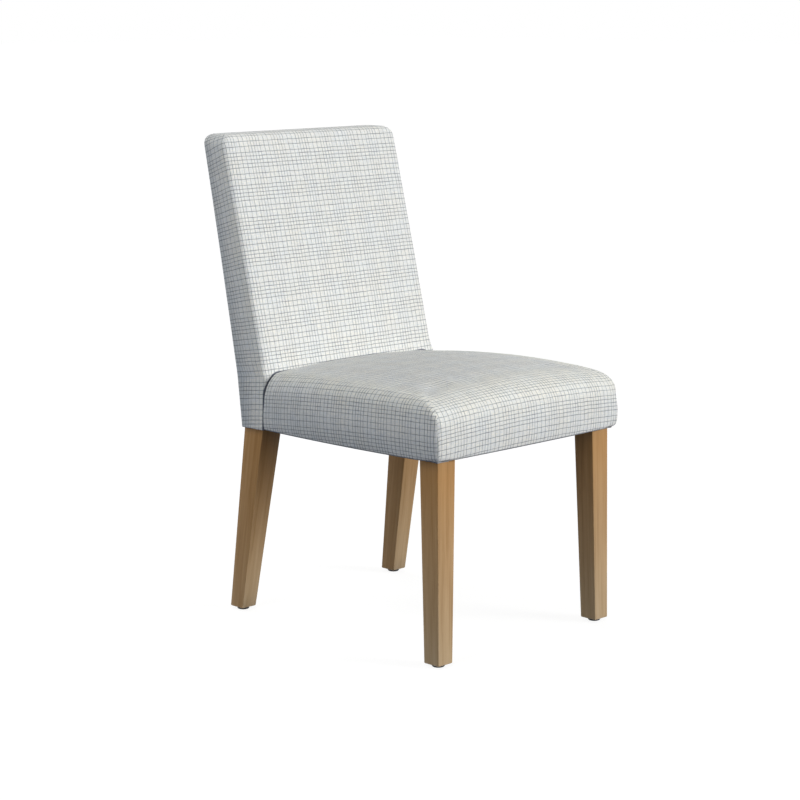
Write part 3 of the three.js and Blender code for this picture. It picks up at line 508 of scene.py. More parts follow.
def seat_stations():
    """The stations of the seat's left side, front and right side."""
    straight = SIDE_STEPS - CORNER_STEPS - len(END_PLACES)
    length = BACK_FRONT[0] - CORNER_Y
    ends = END_PLACES + [lerp(SIDE_START, length, k / straight) for k in range(straight + 1)]
    half_arc = [0.5 * k / CORNER_STEPS for k in range(1, CORNER_STEPS + 1)]
    left = [side_station(end) for end in ends] + [corner_station(share) for share in half_arc]
    half = FRONT_STEPS // 2 - CORNER_STEPS
    front = [left[-1]] + [corner_station(0.5 + share) for share in half_arc]
    front += [front_station(-CORNER_X + CORNER_X * k / half) for k in range(1, half + 1)]
    front += [mirrored(place) for place in reversed(front[:-1])]
    return {"left": left, "front": front, "right": [mirrored(place) for place in reversed(left)]}


def seat_shrunk(x, y, across, along):
    """A point of the outline drawn in, as the seat's rounded top edges need."""
    full = SEAT_END - SEAT_FRONT
    return x * (1 - across / SEAT_HALF_FRONT), SEAT_END - (SEAT_END - y) * (1 - along / full)


# The cover's turned-in bottom edge: how far out and how high a row of points lies, and which way it faces
SEAT_ROWS = (
    (-COVER_RETURN, 0.2, (0, -1)),
    (-COVER_RETURN / 2, 0.2, (0, -1)),
    (-SEAT_TUCK - 3.0, 0.1, (0, -1)),
    (-SEAT_TUCK, 0.5, (0.6, -0.8)),
    (-0.4 * SEAT_TUCK, 1.8, (0.9, -0.4)),
    (-0.1 * SEAT_TUCK, 3.2, (1, 0)),
    (0.0, WALL_START, (1, 0)),
)
TUCK_LOWEST = 0.3


def bulge_at(share):
    """How much of the bulge a wall has, between its bottom edge and its shoulder."""
    if share <= 0:
        return 0.0
    return sin(pi * clamp(share) ** BULGE_SKEW * BULGE_REACH) ** BULGE_FULLNESS


def side_round(y):
    """Width and height of the rounding over the seat's sides, which grows towards the back."""
    share = smooth(clamp((y - ROUND_GROWS_FROM) / (BACK_FRONT[0] - ROUND_GROWS_FROM)))
    return blend(SIDE_ROUND, SIDE_ROUND_REAR, share)


def seat_column(place):
    """The points of one station from the bottom up, each with its outward direction in the cross-section."""
    width, height = side_round(place.y)

    def at(outward, z, round_share):
        low, high = CORNER_GROWS
        growth = CORNER_GROWTH * smooth(clamp((z - low) / (high - low)))
        x = place.x + place.out[0] * outward + place.inward[0] * growth
        y = place.y + place.out[1] * outward + place.inward[1] * growth
        return [*seat_shrunk(x, y, width * round_share, FRONT_ROUND[0] * round_share), z]

    rim_x, rim_y = seat_shrunk(place.x, place.y, width, FRONT_ROUND[0])
    round_height = lerp(height, FRONT_ROUND[1], place.front)
    shoulder = seat_top(rim_x, rim_y) - round_height
    deeper, higher = 1 + CORNER_TUCK * place.corner, 1 + CORNER_TUCK_RISE * place.corner
    column = []
    for out, z, side in SEAT_ROWS:
        out = out * deeper if out >= -SEAT_TUCK else out - SEAT_TUCK * (deeper - 1)
        column.append((at(out, z * (higher if z > TUCK_LOWEST else 1), 0), side))
    for k in range(1, WALL_STEPS + 1):
        share = k / WALL_STEPS
        z = lerp(WALL_START * higher, shoulder, share)
        column.append((at(place.bulge * bulge_at(share), z, 0), (1, 0)))
    last = place.bulge * bulge_at(1)
    for k in range(1, ROUND_STEPS + 1):
        angle = k / ROUND_STEPS * pi / 2
        out, up = cos(angle), sin(angle)
        column.append((at(last * out, shoulder + round_height * up, 1 - out), (out, up)))
    return column


def curl_of(distance):
    """How far the cover turns in at a distance from the edge where it meets the back."""
    if distance >= SEAM_CURL:
        return 0.0
    return SEAM_CURL - sqrt(max(SEAM_CURL**2 - (SEAM_CURL - distance) ** 2, 0))


def fitted_to_back(x, y, z):
    """Draws a point of the seat up to the back's front face, which leans."""
    slack = back_front(z) - CLEARANCE - BACK_FRONT[0]
    return [x, y + slack * seat_share(y) ** FIT_POWER, z]


def fitted_column(place):
    """The points of one station, curled in near the seat's end and drawn up to the back."""
    curl = curl_of(place.end)
    sign = -1 if place.x < 0 else 1
    return [
        fitted_to_back(x - sign * side * curl, y, z - max(up, 0) * curl)
        for (x, y, z), (side, up) in seat_column(place)
    ]


def lengths_along(points, u, v, squeeze=1.0):
    """Sheet lengths along a line of points, measured in the plane of two axes."""
    lengths = [0.0]
    for a, b in zip(points, points[1:]):
        lengths.append(lengths[-1] + hypot(a[u] - b[u], (a[v] - b[v]) * squeeze))
    return lengths


def lengths_down(column, flat):
    """Sheet lengths from the rim down a column, measured in the plane of the given axis and z."""
    return lengths_along(column[::-1], flat, 2)[::-1]


def length_down_to(column, height):
    """Sheet length from the rim of a side's column down to a height."""
    down = lengths_down(column, 0)
    for k in range(len(column) - 1, 0, -1):
        top, low = column[k][2], column[k - 1][2]
        if low <= height <= top:
            return lerp(down[k], down[k - 1], (top - height) / max(top - low, 0.001))
    return down[0]


def printed_across(x):
    """Where a point of the seat lies across the print."""
    return x * ACROSS_SQUEEZE + ACROSS_SHIFT


def left_line_height(y):
    """Height at which one line of the print runs along the seat's left side."""
    return LEFT_LINE + LEFT_LINE_RISE * y - LEFT_LINE_FALL * y * y


def seat_skin():
    stations = seat_stations()
    walls = {part: [fitted_column(place) for place in stations[part]] for part in stations}
    last = len(walls["front"][0]) - 1
    rim = {part: [column[last] for column in walls[part]] for part in walls}

    def distances(part, i, k):
        end = stations[part][i].end
        # Painted crevice shade near the seat's end, and weaker painted shade along the bottom hem
        seam = end + SEAT_SHADE_SHIFT
        return min(seam, HEM_SHADE) if walls[part][i][k][2] < HEM_SHADE_TOP else seam, end

    skin = Skin(walls, {"left": "front", "front": "right"}, distances)
    middle_rim = rim["front"][FRONT_STEPS // 2][2]
    left_lines = [length_down_to(column, left_line_height(column[0][1])) for column in walls["left"]]
    for part in walls:
        down = [lengths_down(column, 1 if part == "front" else 0) for column in walls[part]]

        def weave(i, k):
            x, y, _ = walls[part][i][k]
            rim_x, rim_y, rim_z = rim[part][i]
            if part == "front":
                over = min(down[i][k], down[i][last - ROUND_STEPS])
                level = STRAIGHTENED * (middle_rim - rim_z) * down[i][k] / down[i][0]
                straight = -rim_y * SEAT_SQUEEZE + down[i][k] + over * (ROUND_SQUEEZE - 1) + level
                return (printed_across(x), straight)
            if part == "left":
                return (LEFT_PLACE + left_lines[i] - down[i][k], -y * SEAT_SQUEEZE)
            return (printed_across(rim_x) + down[i][k], -y * SEAT_SQUEEZE)

        skin.build_wall(part, weave)

    left_edge, right_edge = rim["left"][::-1], rim["right"]
    first_x, last_x = rim["front"][0][0], rim["front"][-1][0]
    rear_edge = [
        blend(left_edge[-1], right_edge[-1], (x - first_x) / (last_x - first_x)) for x, _, _ in rim["front"]
    ]

    def raised(place, j):
        x, y, _ = place
        end = stations["left"][SIDE_STEPS - j].end
        return [x, y, seat_top(x, y) - curl_of(end)], end + SEAT_SHADE_SHIFT + shade_fade(x), end

    def weave_on_top(point, i, j):
        x, y, _ = point
        edge = left_edge[j][0]
        extra = LEFT_PLACE + left_lines[SIDE_STEPS - j] - printed_across(edge)
        share = smooth(clamp((LEFT_BLEND - x) / (LEFT_BLEND - edge)))
        return (printed_across(x) + extra * share, -y * SEAT_SQUEEZE)

    skin.build_top((rim["front"], left_edge, right_edge, rear_edge), raised, weave_on_top)
    return skin


def seat_painted_light(point):
    """Painted light and shade on the seat where its cover turns over an edge, from -1 (painted shade) to 1
    (painted highlight).
    """
    x, y, z = point
    from_side, from_front = seat_half(y) - abs(x), y - SEAT_FRONT
    to_rear = clamp((seat_share(y) - PAINTED_LIGHT_REAR_FROM) / PAINTED_LIGHT_REAR_OVER)
    side = lerp(between(PAINTED_LIGHT_SIDE, z), between(PAINTED_LIGHT_REAR, z), to_rear)
    side *= (1 - clamp((from_side - SIDE_ROUND[0]) / PAINTED_LIGHT_REACH)) ** 2
    front = between(PAINTED_LIGHT_FRONT, z) * (1 - clamp((from_front - FRONT_ROUND[0]) / PAINTED_LIGHT_REACH)) ** 2
    return lerp(side, front, clamp((from_side - from_front) / PAINTED_LIGHT_CORNER + 0.5))


def make_seat():
    skin = seat_skin()
    stands_for = ("seat_cover", "seat_wadding", "seat_foam")
    held = [held_share(min(point[2] - HELD_HEIGHT, end)) for point, end in zip(skin.points, skin.ends)]
    make_cushion("seat_cushion", skin, SEAT_PRINT, stands_for, {"painted_light": seat_painted_light}, held, SEAT_PRESSURE)


# Back cushion: rings stand one above another, each a front, right, rear and left edge


def back_shade_distance(point):
    """Distance of a point of the back cushion from the outline of the seat's end against it, where crevice
    shade is painted, with more along the top where that painted shade fades.
    """
    x, y, z = point
    width, height = SIDE_ROUND_REAR
    inner = SEAT_HALF_REAR - width
    past = max(abs(x) - inner, 0)
    rim = seat_top(min(abs(x), inner), BACK_FRONT[0])
    if past == 0:
        outside = max(z - rim, 0)
    else:
        reach = hypot(past / width, max(z - rim + height, 0) / height)
        outside = max(reach - 1, 0) * 0.5 * (width + height) if z > rim - height else 0
    return hypot(outside, max(y - back_front(z), 0)) + shade_fade(x)


def back_crown(height):
    """Share of the back's crown at a height above the seat."""
    return arch(clamp((height - SEAT_TOP) / (BACK_TOP - SEAT_TOP)))


def back_ring(height, corner_in=0.0, edge_in=0.0):
    """A level ring round the back. Each edge runs from corner middle to corner middle."""
    half = back_half(height) - corner_in
    front, rear = back_front(height) + edge_in, back_rear(height) - edge_in
    past = clamp((height - BACK_KNEE) / (SEAT_TOP - BACK_KNEE))
    front_radius = lerp(BACK_SEAM_EDGE, BACK_FRONT_EDGE, past)
    crown = back_crown(height)
    low, high = front + front_radius, rear - BACK_EDGE

    def arc(at_rear, start, end):
        """Part of a right corner, between two shares of a quarter circle."""
        radius, middle, way = (BACK_EDGE, high, 1) if at_rear else (front_radius, low, -1)
        points = []
        for k in range(BACK_ARC + 1):
            angle = lerp(start, end, k / BACK_ARC) * pi / 2
            x = half - radius + radius * cos(angle)
            points.append((x, middle + way * radius * sin(angle), height))
        return points

    def edge(radius, y, rise):
        count = BACK_ACROSS - 2 * BACK_ARC
        shares = [2 * k / count - 1 for k in range(1, count)]
        return [(s * (half - radius), y + rise * crown * (1 - s**2), height) for s in shares]

    def other_side(points):
        return [(-x, y, z) for x, y, z in reversed(points)]

    count = BACK_DEEP - 2 * BACK_ARC
    side = [(half, lerp(low, high, k / count), height) for k in range(1, count)]
    right = arc(False, 0.5, 0) + side + arc(True, 0, 0.5)
    at_front, at_rear = arc(False, 1, 0.5), arc(True, 0.5, 1)
    return {
        "front": other_side(at_front) + edge(front_radius, front, -BACK_FRONT_CROWN) + at_front,
        "right": right,
        "rear": at_rear + edge(BACK_EDGE, rear, BACK_REAR_CROWN)[::-1] + other_side(at_rear),
        "left": other_side(right),
    }


def back_rings():
    """The rings from the foot up, and the number of the last one below the rounded top."""
    heights = BACK_LOWEST + [lerp(BACK_LOW, BACK_KNEE, k / LOW_ROWS) for k in range(LOW_ROWS + 1)]
    heights += [lerp(BACK_KNEE, BACK_SHOULDER, k / TALL_ROWS) for k in range(1, TALL_ROWS + 1)]
    rings = [back_ring(height) for height in heights]
    shoulder = len(rings) - 1
    for k in range(1, TOP_ROWS + 1):
        angle = k / TOP_ROWS * pi / 2
        height = BACK_SHOULDER + BACK_CORNER * sin(angle)
        rise = max(height - (BACK_TOP - BACK_TOP_EDGE), 0)
        edge_in = BACK_TOP_EDGE - sqrt(max(BACK_TOP_EDGE**2 - rise**2, 0))
        rings.append(back_ring(height, BACK_CORNER * (1 - cos(angle)), edge_in))
    return rings, shoulder


def up_rake(point):
    """Sheet length up the back's lean to the line of the print that runs through a point."""
    _, y, z = point
    behind = max(y - back_front(z), 0)
    low, high = SIDE_FALL_HEIGHTS
    fall = lerp(*SIDE_FALL, clamp((z + SIDE_FALL_BACK * behind - low) / (high - low)))
    height = z + behind * tan(fall)
    return back_front(height) * sin(RAKE) + height * cos(RAKE)


def around(ring, side):
    """Sheet lengths along a ring's edge from the middle of its front, positive to the right."""
    front, rest = ring["front"], ring["right"][1:]
    if side == "left":
        front, rest = front[::-1], ring["left"][-2::-1]
    lengths = lengths_along(front + rest, 0, 1, cos(RAKE))
    lengths = [value - lengths[len(front) // 2] for value in lengths]
    if side == "front":
        return lengths[: len(front)]
    part = lengths[len(front) - 1 :]
    return part if side == "right" else [-value for value in reversed(part)]


def back_skin():
    rings, shoulder = back_rings()
    walls = {side: list(zip(*[ring[side] for ring in rings])) for side in SIDES}

    def distances(side, i, k):
        point = walls[side][i][k]
        return back_shade_distance(point), 0.0 if side == "rear" else min(back_rear(point[2]) - point[1], point[2])

    def climb(side, i, k):
        """Sheet length up a column from the shoulder, over the side's own edge."""
        flat = 1 if side in ("front", "rear") else 0
        return lengths_along(walls[side][i][shoulder : k + 1], flat, 2)[-1]

    def behind_panel(i, k):
        return k < shoulder and BACK_ARC <= i < BACK_ACROSS - BACK_ARC

    skin = Skin(walls, dict(zip(SIDES, SIDES[1:] + SIDES[:1])), distances)
    for side in ("front", "right", "left"):
        lengths = [around(ring, side) for ring in rings]

        def weave(i, k):
            down = -up_rake(walls[side][i][min(k, shoulder)]) - climb(side, i, k)
            if side == "front" and k > shoulder:
                return (walls[side][i][k][0], down)
            return (lengths[min(k, shoulder)][i], down)

        skin.build_wall(side, weave)

    def weave_behind(i, k):
        column = walls["rear"][i]
        return (-column[k][0], -up_rake(column[min(k, shoulder)]) - climb("rear", i, k))

    skin.build_wall("rear", weave_behind, behind_panel)
    top = rings[-1]
    start = up_rake((0, 0, BACK_SHOULDER))
    climbs = [climb("front", i, len(rings) - 1) for i in range(BACK_ACROSS + 1)]

    def weave_on_top(point, i, j):
        return (point[0], -start - climbs[i] - (point[1] - top["front"][i][1]))

    edges = top["front"], top["left"][::-1], top["right"], top["rear"][::-1]
    skin.build_top(edges, lambda place, j: (place,), weave_on_top)
    return skin


def side_share(point):
    """1 on the back's sides, 0 on its front, rear and top."""
    half = back_half(point[2])
    return clamp((abs(point[0]) - half + SIDE_BLEND) / SIDE_BLEND)


def side_painted_light(point):
    """Painted light and shade on the back's sides: from 1, a painted highlight, at their front to -1, painted
    shade, at their rear, darker towards the bottom, and 0 away from the sides.
    """
    _, y, z = point
    behind = (y - back_front(z)) / (back_rear(z) - back_front(z))
    return side_share(point) * clamp(1 - 2 * behind - LOW_PAINTED_SHADE * clamp(1 - z / LOW_PAINTED_SHADE_TOP), -1.0, 1.0)


def make_back():
    skin = back_skin()
    stands_for = ("back_cover", "back_wadding", "back_foam")
    shades = {"side": side_share, "painted_light": side_painted_light}
    held = [held_share(min(end, seam)) for end, seam in zip(skin.ends, skin.seams)]
    make_cushion("back_cushion", skin, BACK_PRINT, stands_for, shades, held, BACK_PRESSURE)


# Rear panel and dust cover


def sheet_faces(points, columns, keep):
    """The faces of a sheet whose points stand in rows, as far as their corners pass a test."""
    wide = columns + 1
    starts = [row * wide + k for row in range(len(points) // wide - 1) for k in range(columns)]
    faces = [[a, a + wide, a + wide + 1, a + 1] for a in starts]
    return [corners for corners in faces if keep([points[c] for c in corners])]


def make_rear_panel():
    """The panel that closes the back, a little proud of the cover and turned in at its bottom edge."""
    heights = [lerp(PANEL_LOW, BACK_TOP - PANEL_INSET, k / PANEL_UP) for k in range(PANEL_UP + 1)]
    heights = PANEL_LOWEST + heights
    top = heights[-1]
    shares = [2 * k / PANEL_ACROSS - 1 for k in range(PANEL_ACROSS + 1)]
    low_half = back_half(0) - PANEL_INSET
    post = REAR_SPREAD - REAR_WIDTH - PANEL_POST_GAP
    points = [
        (clamp(share * low_half, -post, post), back_rear(0) - inward, z)
        for inward, z in PANEL_TURNED
        for share in shares
    ]
    for height in heights:
        half = back_half(height) - PANEL_INSET
        for share in shares:
            edge = min(half * (1 - abs(share)), top - height)
            proud = PANEL_RISE * min(1.0, edge / PANEL_SLOPE) ** 0.5 - PANEL_SINK
            crown = BACK_REAR_CROWN * back_crown(height) * (1 - share**2)
            points.append((share * half, back_rear(height) + crown + proud, height))

    def weave(point):
        x, y, z = point
        turned = max(back_rear(0) - y, 0) if z < 0 else 0
        return (-x - BACK_PRINT[0], -up_rake(point) - BACK_PRINT[1] + turned)

    faces = sheet_faces(points, PANEL_ACROSS, lambda corners: corners[0][0] != corners[3][0])
    uvs = [[weave(points[c]) for c in corners] for corners in faces]
    panel = new_piece("back_outside_panel", points, faces, ("back_panel_rear",), "cover_fabric", uvs)
    add_values(panel, "seam", [FAR] * len(points))
    add_thickness(panel, COVER_THICKNESS)


def hemmed(width, count):
    """Even shares across a cloth, with more close together over the hem at each side."""
    hem = [place / width for place in HEM_PLACES]
    inner = [lerp(hem[-1], 1 - hem[-1], k / count) for k in range(1, count)]
    return hem + inner + [1 - value for value in reversed(hem)]


def make_dust_cover():
    """A thin cloth under the seat, turned under at its edge and sagging a little between the rails."""
    front_half, rear_half = FRONT_SPREAD - DUST_INSET, REAR_SPREAD - DUST_INSET
    front, rear = DUST_INSET, REAR_PLACE + REAR_DEPTH - DUST_INSET
    across, along = hemmed(2 * front_half, DUST_ACROSS), hemmed(rear - front, DUST_ALONG)
    points = []
    for t in along:
        y, half = lerp(front, rear, t), lerp(front_half, rear_half, t)
        for u in across:
            x = lerp(-half, half, u)
            sag = DUST_SAG * arch(u) ** DUST_FLATNESS * arch(t) ** DUST_FLATNESS
            ripple = DUST_RIPPLE * noise.noise(Vector((x * RIPPLE_ACROSS, y * RIPPLE_ALONG, RIPPLE_PLACE)))
            doubled = HEM_DROP if min(half - abs(x), y - front, rear - y) < HEM_DOUBLED else 0.0
            points.append((x, y, -DUST_DROP - sag - doubled + ripple * arch(u)))
    legs = [(span(FRONT_SPREAD, FRONT_WIDTH, s), (0, FRONT_WIDTH)) for s in (-1, 1)]
    legs += [(span(REAR_SPREAD, REAR_WIDTH, s), (REAR_PLACE, REAR_PLACE + REAR_DEPTH)) for s in (-1, 1)]

    def off_legs(corners):
        """Whether the cloth is left where it would run through a leg."""
        return not any(
            all(x0 <= x <= x1 and y0 <= y <= y1 for x, y, _ in corners) for (x0, x1), (y0, y1) in legs
        )

    faces = sheet_faces(points, len(across) - 1, off_legs)
    uvs = [[points[c][:2] for c in corners] for corners in faces]
    cloth = new_piece("dust_cloth", points, faces, ("dust_cover",), "dust_cloth", uvs)
    add_thickness(cloth, DUST_THICKNESS, 1.0)


# Legs


def bar(name, sections, node, grain_seed, side_floor_light_cut=0.0, front_shade=0.0):
    """A square bar with eased edges through level sections: (z at a y, x range, y range, easing)."""
    points, grains, painted_floor_lights, shades = [], [], [], []
    for z_of, (x0, x1), (y0, y1), ease in sections:
        mid_x, mid_y = (x0 + x1) / 2, (y0 + y1) / 2
        for quarter, way_x, way_y in ((2, -1, -1), (3, 1, -1), (0, 1, 1), (1, -1, 1)):
            for k in range(LEG_EDGE_STEPS + 1):
                angle = (quarter + k / LEG_EDGE_STEPS) * pi / 2
                right, back = cos(angle), sin(angle)
                x = way_x * ((x1 - x0) / 2 - LEG_EDGE) + LEG_EDGE * right
                y = way_y * ((y1 - y0) / 2 - LEG_EDGE) + LEG_EDGE * back
                x, y = x - clamp(x, -ease, ease), y - clamp(y, -ease, ease)
                z = z_of(mid_y + y)
                points.append((mid_x + x, mid_y + y, z))
                grains.append((x, y, z))
                # Painted floor light, with less of it on the side faces by the given cut
                painted_floor_lights.append(1 - side_floor_light_cut * right**2)
                # Painted shadow of the seat on the front faces
                shades.append(front_shade * max(0.0, -back) ** 2)
    count = 4 * (LEG_EDGE_STEPS + 1)
    faces = [
        [row + k, row + (k + 1) % count, row + count + (k + 1) % count, row + count + k]
        for row in range(0, len(points) - count, count)
        for k in range(count)
    ]
    faces += [list(reversed(range(count))), list(range(len(points) - count, len(points)))]
    piece = new_piece(name, points, faces, (node,), "leg_wood")
    start = [grain_seed * step for step in GRAIN_STEPS]
    grown = [value * MM + first for grain in grains for value, first in zip(grain, start)]
    add_values(piece, "grain", grown, "FLOAT_VECTOR")
    add_values(piece, "rise", [value * MM for grain in grains for value in grain], "FLOAT_VECTOR")
    add_values(piece, "painted_floor_light", painted_floor_lights)
    add_values(piece, "shade", shades)
    edges = piece.modifiers.new("edges", "EDGE_SPLIT")
    edges.split_angle = LEG_SPLIT


def span(spread, width, sign):
    """X range of a leg that is so wide and ends at a distance from the middle."""
    return tuple(sorted((sign * spread, sign * (spread - width))))


def foot_level(rise):
    return lambda y: level_at(GLIDE_HEIGHT, y) + rise


def flat_level(z):
    return lambda y: z


def leg_sections(foot, seat):
    """A leg's sections from its foot up to the seat's underside, between two pairs of x and y ranges."""
    sections = [(foot_level(0), *foot, FOOT_EDGE), (foot_level(FOOT_EDGE), *foot, 0)]
    bottom = level_at(GLIDE_HEIGHT, foot[1][0])
    for k in range(1, LEG_STEPS + 1):
        t = k / LEG_STEPS
        sections.append((flat_level(lerp(bottom, 0, t)), *(blend(a, b, t) for a, b in zip(foot, seat)), 0))
    return sections


def make_front_leg(side, sign, seed):
    foot = span(FRONT_FOOT_SPREAD, FRONT_FOOT_WIDTH, sign), (0, FRONT_FOOT_WIDTH)
    seat = span(FRONT_SPREAD, FRONT_WIDTH, sign), (0, FRONT_WIDTH)
    sections = leg_sections(foot, seat) + [(flat_level(RAIL_TOP), *seat, 0)]
    bar("leg_front_" + side, sections, "front_leg_" + side, seed)


def make_rear_leg(side, sign, seed):
    foot = span(REAR_FOOT_SPREAD, REAR_FOOT_WIDTH, sign), (REAR_FOOT_PLACE, REAR_FOOT_PLACE + REAR_FOOT_DEPTH)
    seat = span(REAR_SPREAD, REAR_WIDTH, sign), (REAR_PLACE, REAR_PLACE + REAR_DEPTH)
    top_x = span(POST_TOP_SPREAD, POST_TOP_WIDTH, sign)
    sections = leg_sections(foot, seat) + [(flat_level(POST_STRAIGHT_TOP), *seat, 0)]
    for height in (BACK_KNEE, POST_TOP):
        x = blend(seat[0], top_x, post_share(height))
        y = (back_front(height) + POST_FRONT_PAD, back_rear(height) - POST_REAR_PAD)
        sections.append((flat_level(height), x, y, 0))
    bar("leg_rear_" + side, sections, "rear_leg_" + side, seed, REAR_SIDE_FLOOR_LIGHT_CUT, REAR_FRONT_SHADE)


# Materials


class Value:
    """The output of a node. What is made from it is the output of a new node in the same tree."""

    def __init__(self, add, socket):
        self.add, self.socket = add, socket

    def math(self, operation, *others):
        return self.add("Math", dict(enumerate((self, *others))), operation=operation)

    def __add__(self, other):
        return self.math("ADD", other)

    def __sub__(self, other):
        return self.math("SUBTRACT", other)

    def __mul__(self, other):
        return self.math("MULTIPLY", other)

    def axis(self, name):
        return self.add("SeparateXYZ", {0: self}, name)

    def stretched(self, *scale):
        return self.add("VectorMath", {0: self, 1: scale}, operation="MULTIPLY")

    def noise(self, scale=1.0, detail=3.0, rough=0.5, output="Fac"):
        inputs = {"Vector": self, "Scale": scale, "Detail": detail, "Roughness": rough}
        return self.add("TexNoise", inputs, output)

    def remap(self, low, high, to_low=0.0, to_high=1.0):
        inputs = {"Value": self, "From Min": low, "From Max": high, "To Min": to_low, "To Max": to_high}
        return self.add("MapRange", inputs)

    def ramp(self, stops):
        ramp = self.add("ValToRGB", {0: self})
        elements = ramp.socket.node.color_ramp.elements
        elements[0].position, elements[1].position = stops[0][0], stops[-1][0]
        elements[0].color, elements[1].color = (*stops[0][1], 1), (*stops[-1][1], 1)
        for position, colour in stops[1:-1]:
            elements.new(position).color = (*colour, 1)
        return ramp

    def mix(self, a, b):
        """From one colour to another by this share."""
        return self.add("Mix", {"Factor": self, 6: a, 7: b}, 2, data_type="RGBA")

    def tinted(self, tint):
        inputs = {"Factor": 1.0, 6: self, 7: tint}
        return self.add("Mix", inputs, 2, data_type="RGBA", blend_type="MULTIPLY")


class Nodes:
    """The nodes of a new material or world."""

    def __init__(self, owner):
        self.owner = owner
        owner.use_nodes = True
        self.tree = owner.node_tree
        self.tree.nodes.clear()

    def add(self, kind, inputs=None, output=0, **settings):
        """An output of a new node. inputs holds what its sockets get, by their names or numbers."""
        node = self.tree.nodes.new("ShaderNode" + kind)
        for key, value in settings.items():
            setattr(node, key, value)
        for key, value in (inputs or {}).items():
            socket = node.inputs[key]
            if isinstance(value, Value):
                self.tree.links.new(value.socket, socket)
            else:
                socket.default_value = (*value, 1) if socket.type == "RGBA" else value
        return Value(self.add, node.outputs[output]) if node.outputs else None

    def given(self, name, output="Fac"):
        return self.add("Attribute", output=output, attribute_name=name)

    def end(self, shader):
        """Ends a material or world in a shader."""
        kind = "OutputWorld" if isinstance(self.owner, bpy.types.World) else "OutputMaterial"
        self.add(kind, {"Surface": shader})

    def surface(self, relief, depth, strength, **looks):
        """Ends the material in a surface with a relief, and gives the material back."""
        inputs = {key.replace("_", " "): value for key, value in looks.items()}
        inputs["Normal"] = self.add("Bump", {"Strength": strength, "Distance": depth, "Height": relief})
        self.end(self.add("BsdfPrincipled", inputs))
        return self.owner

    def stage_surface(self, seen, lighting):
        """Ends in one shader for the rays that see the stage, and another for those that light the chair."""
        sees = self.add("LightPath", output="Is Camera Ray")
        for kind in ("Is Glossy Ray", "Is Transmission Ray"):
            sees = sees.math("MAXIMUM", self.add("LightPath", output=kind))
        self.end(self.add("MixShader", {0: sees, 1: lighting, 2: seen}))


def new_material(name):
    return Nodes(bpy.data.materials.new(name))


def printed_lines(along, places):
    """1 on the lines of one direction of the grid and 0 between them, from a coordinate in metres."""
    share = (along.math("DIVIDE", REPEAT * MM) + 100.0).math("FRACT")
    stops = []
    for place in places:
        centre, width = (place + LINE_SHIFT) / REPEAT, LINE_HALF / REPEAT
        stops += [(centre - width, BLACK), (centre, WHITE), (centre + width, BLACK)]
    return (share + LINE_SHIFT / REPEAT).math("FRACT").ramp(stops)


def fabric_material():
    nodes = new_material("linen_with_a_printed_grid")
    uv = nodes.add("UVMap", uv_map="weave")
    across, down = uv.axis("X"), uv.axis("Y")

    def threads(across_scale, down_scale, rough=0.5):
        return uv.stretched(across_scale, down_scale, 1).noise(rough=rough)

    slub, slub_down, flecks = threads(80, 480, 0.6), threads(440, 50, 0.6), threads(330, 330, 0.7)
    cloth = slub.remap(0.3, 0.7).mix(THREAD_DULL, THREAD_BRIGHT)
    cloth = slub_down.remap(0.35, 0.7, 0, 0.9).mix(cloth, THREAD_GREY)
    cloth = flecks.remap(0.45, 0.72, 0, 0.8).mix(cloth, FLECK_COOL)
    cloth = flecks.remap(0.50, 0.30, 0, 0.8).mix(cloth, FLECK_WARM)

    side, painted_light = nodes.given("side"), nodes.given("painted_light")
    drift_across = (uv.noise(32.0, 2.0) - 0.5) * 0.0016
    drift_down = (uv.stretched(1.3, 0.9, 1.0).noise(34.0) - 0.5) * 0.0022
    faint_down = threads(240, 70).remap(0.3, 0.7, 0.5, 1.4) * side.remap(0, 1, 1, 0.75)
    faint_across = threads(70, 240).remap(0.3, 0.7, 0.66, 1.3) * (side * painted_light).remap(0, 1, 1, 0.8)
    ink_across = uv.noise(25.0, 1.0).remap(0.4, 0.6).mix(INK_DARK, INK_PALE)
    colour = (printed_lines(across + drift_across, DOWN_LINES) * faint_down).mix(cloth, INK_DOWN)
    colour = (printed_lines(down + drift_down, ACROSS_LINES) * faint_across).mix(colour, ink_across)

    # Painted light and shade where the covers turn over their edges
    colour = colour.tinted(painted_light.remap(-1, 1).ramp(PAINTED_LIGHT_TONES))
    colour = colour.tinted(uv.noise(22.0, 2.0).remap(0.35, 0.65).mix(HUE_COOL, HUE_WARM))
    # Painted shade: dark in the crevice where the seat meets the back, and along the seat's bottom hem
    colour = nodes.given("seam").remap(PAINTED_SHADE_DARK, PAINTED_SHADE_FADED, 0.85, 0).mix(colour, PAINTED_SHADE_COLOUR)
    warp, weft = ((place * (2 * pi / THREAD_PITCH)).math("SINE") for place in (across, down))
    relief = warp * weft + (slub + slub_down)
    looks = {"Sheen_Weight": 0.08, "Sheen_Roughness": 0.5, "Specular_IOR_Level": DULL_SHINE}
    return nodes.surface(relief, 0.00012, 0.6, Base_Color=colour, Roughness=0.9, **looks)


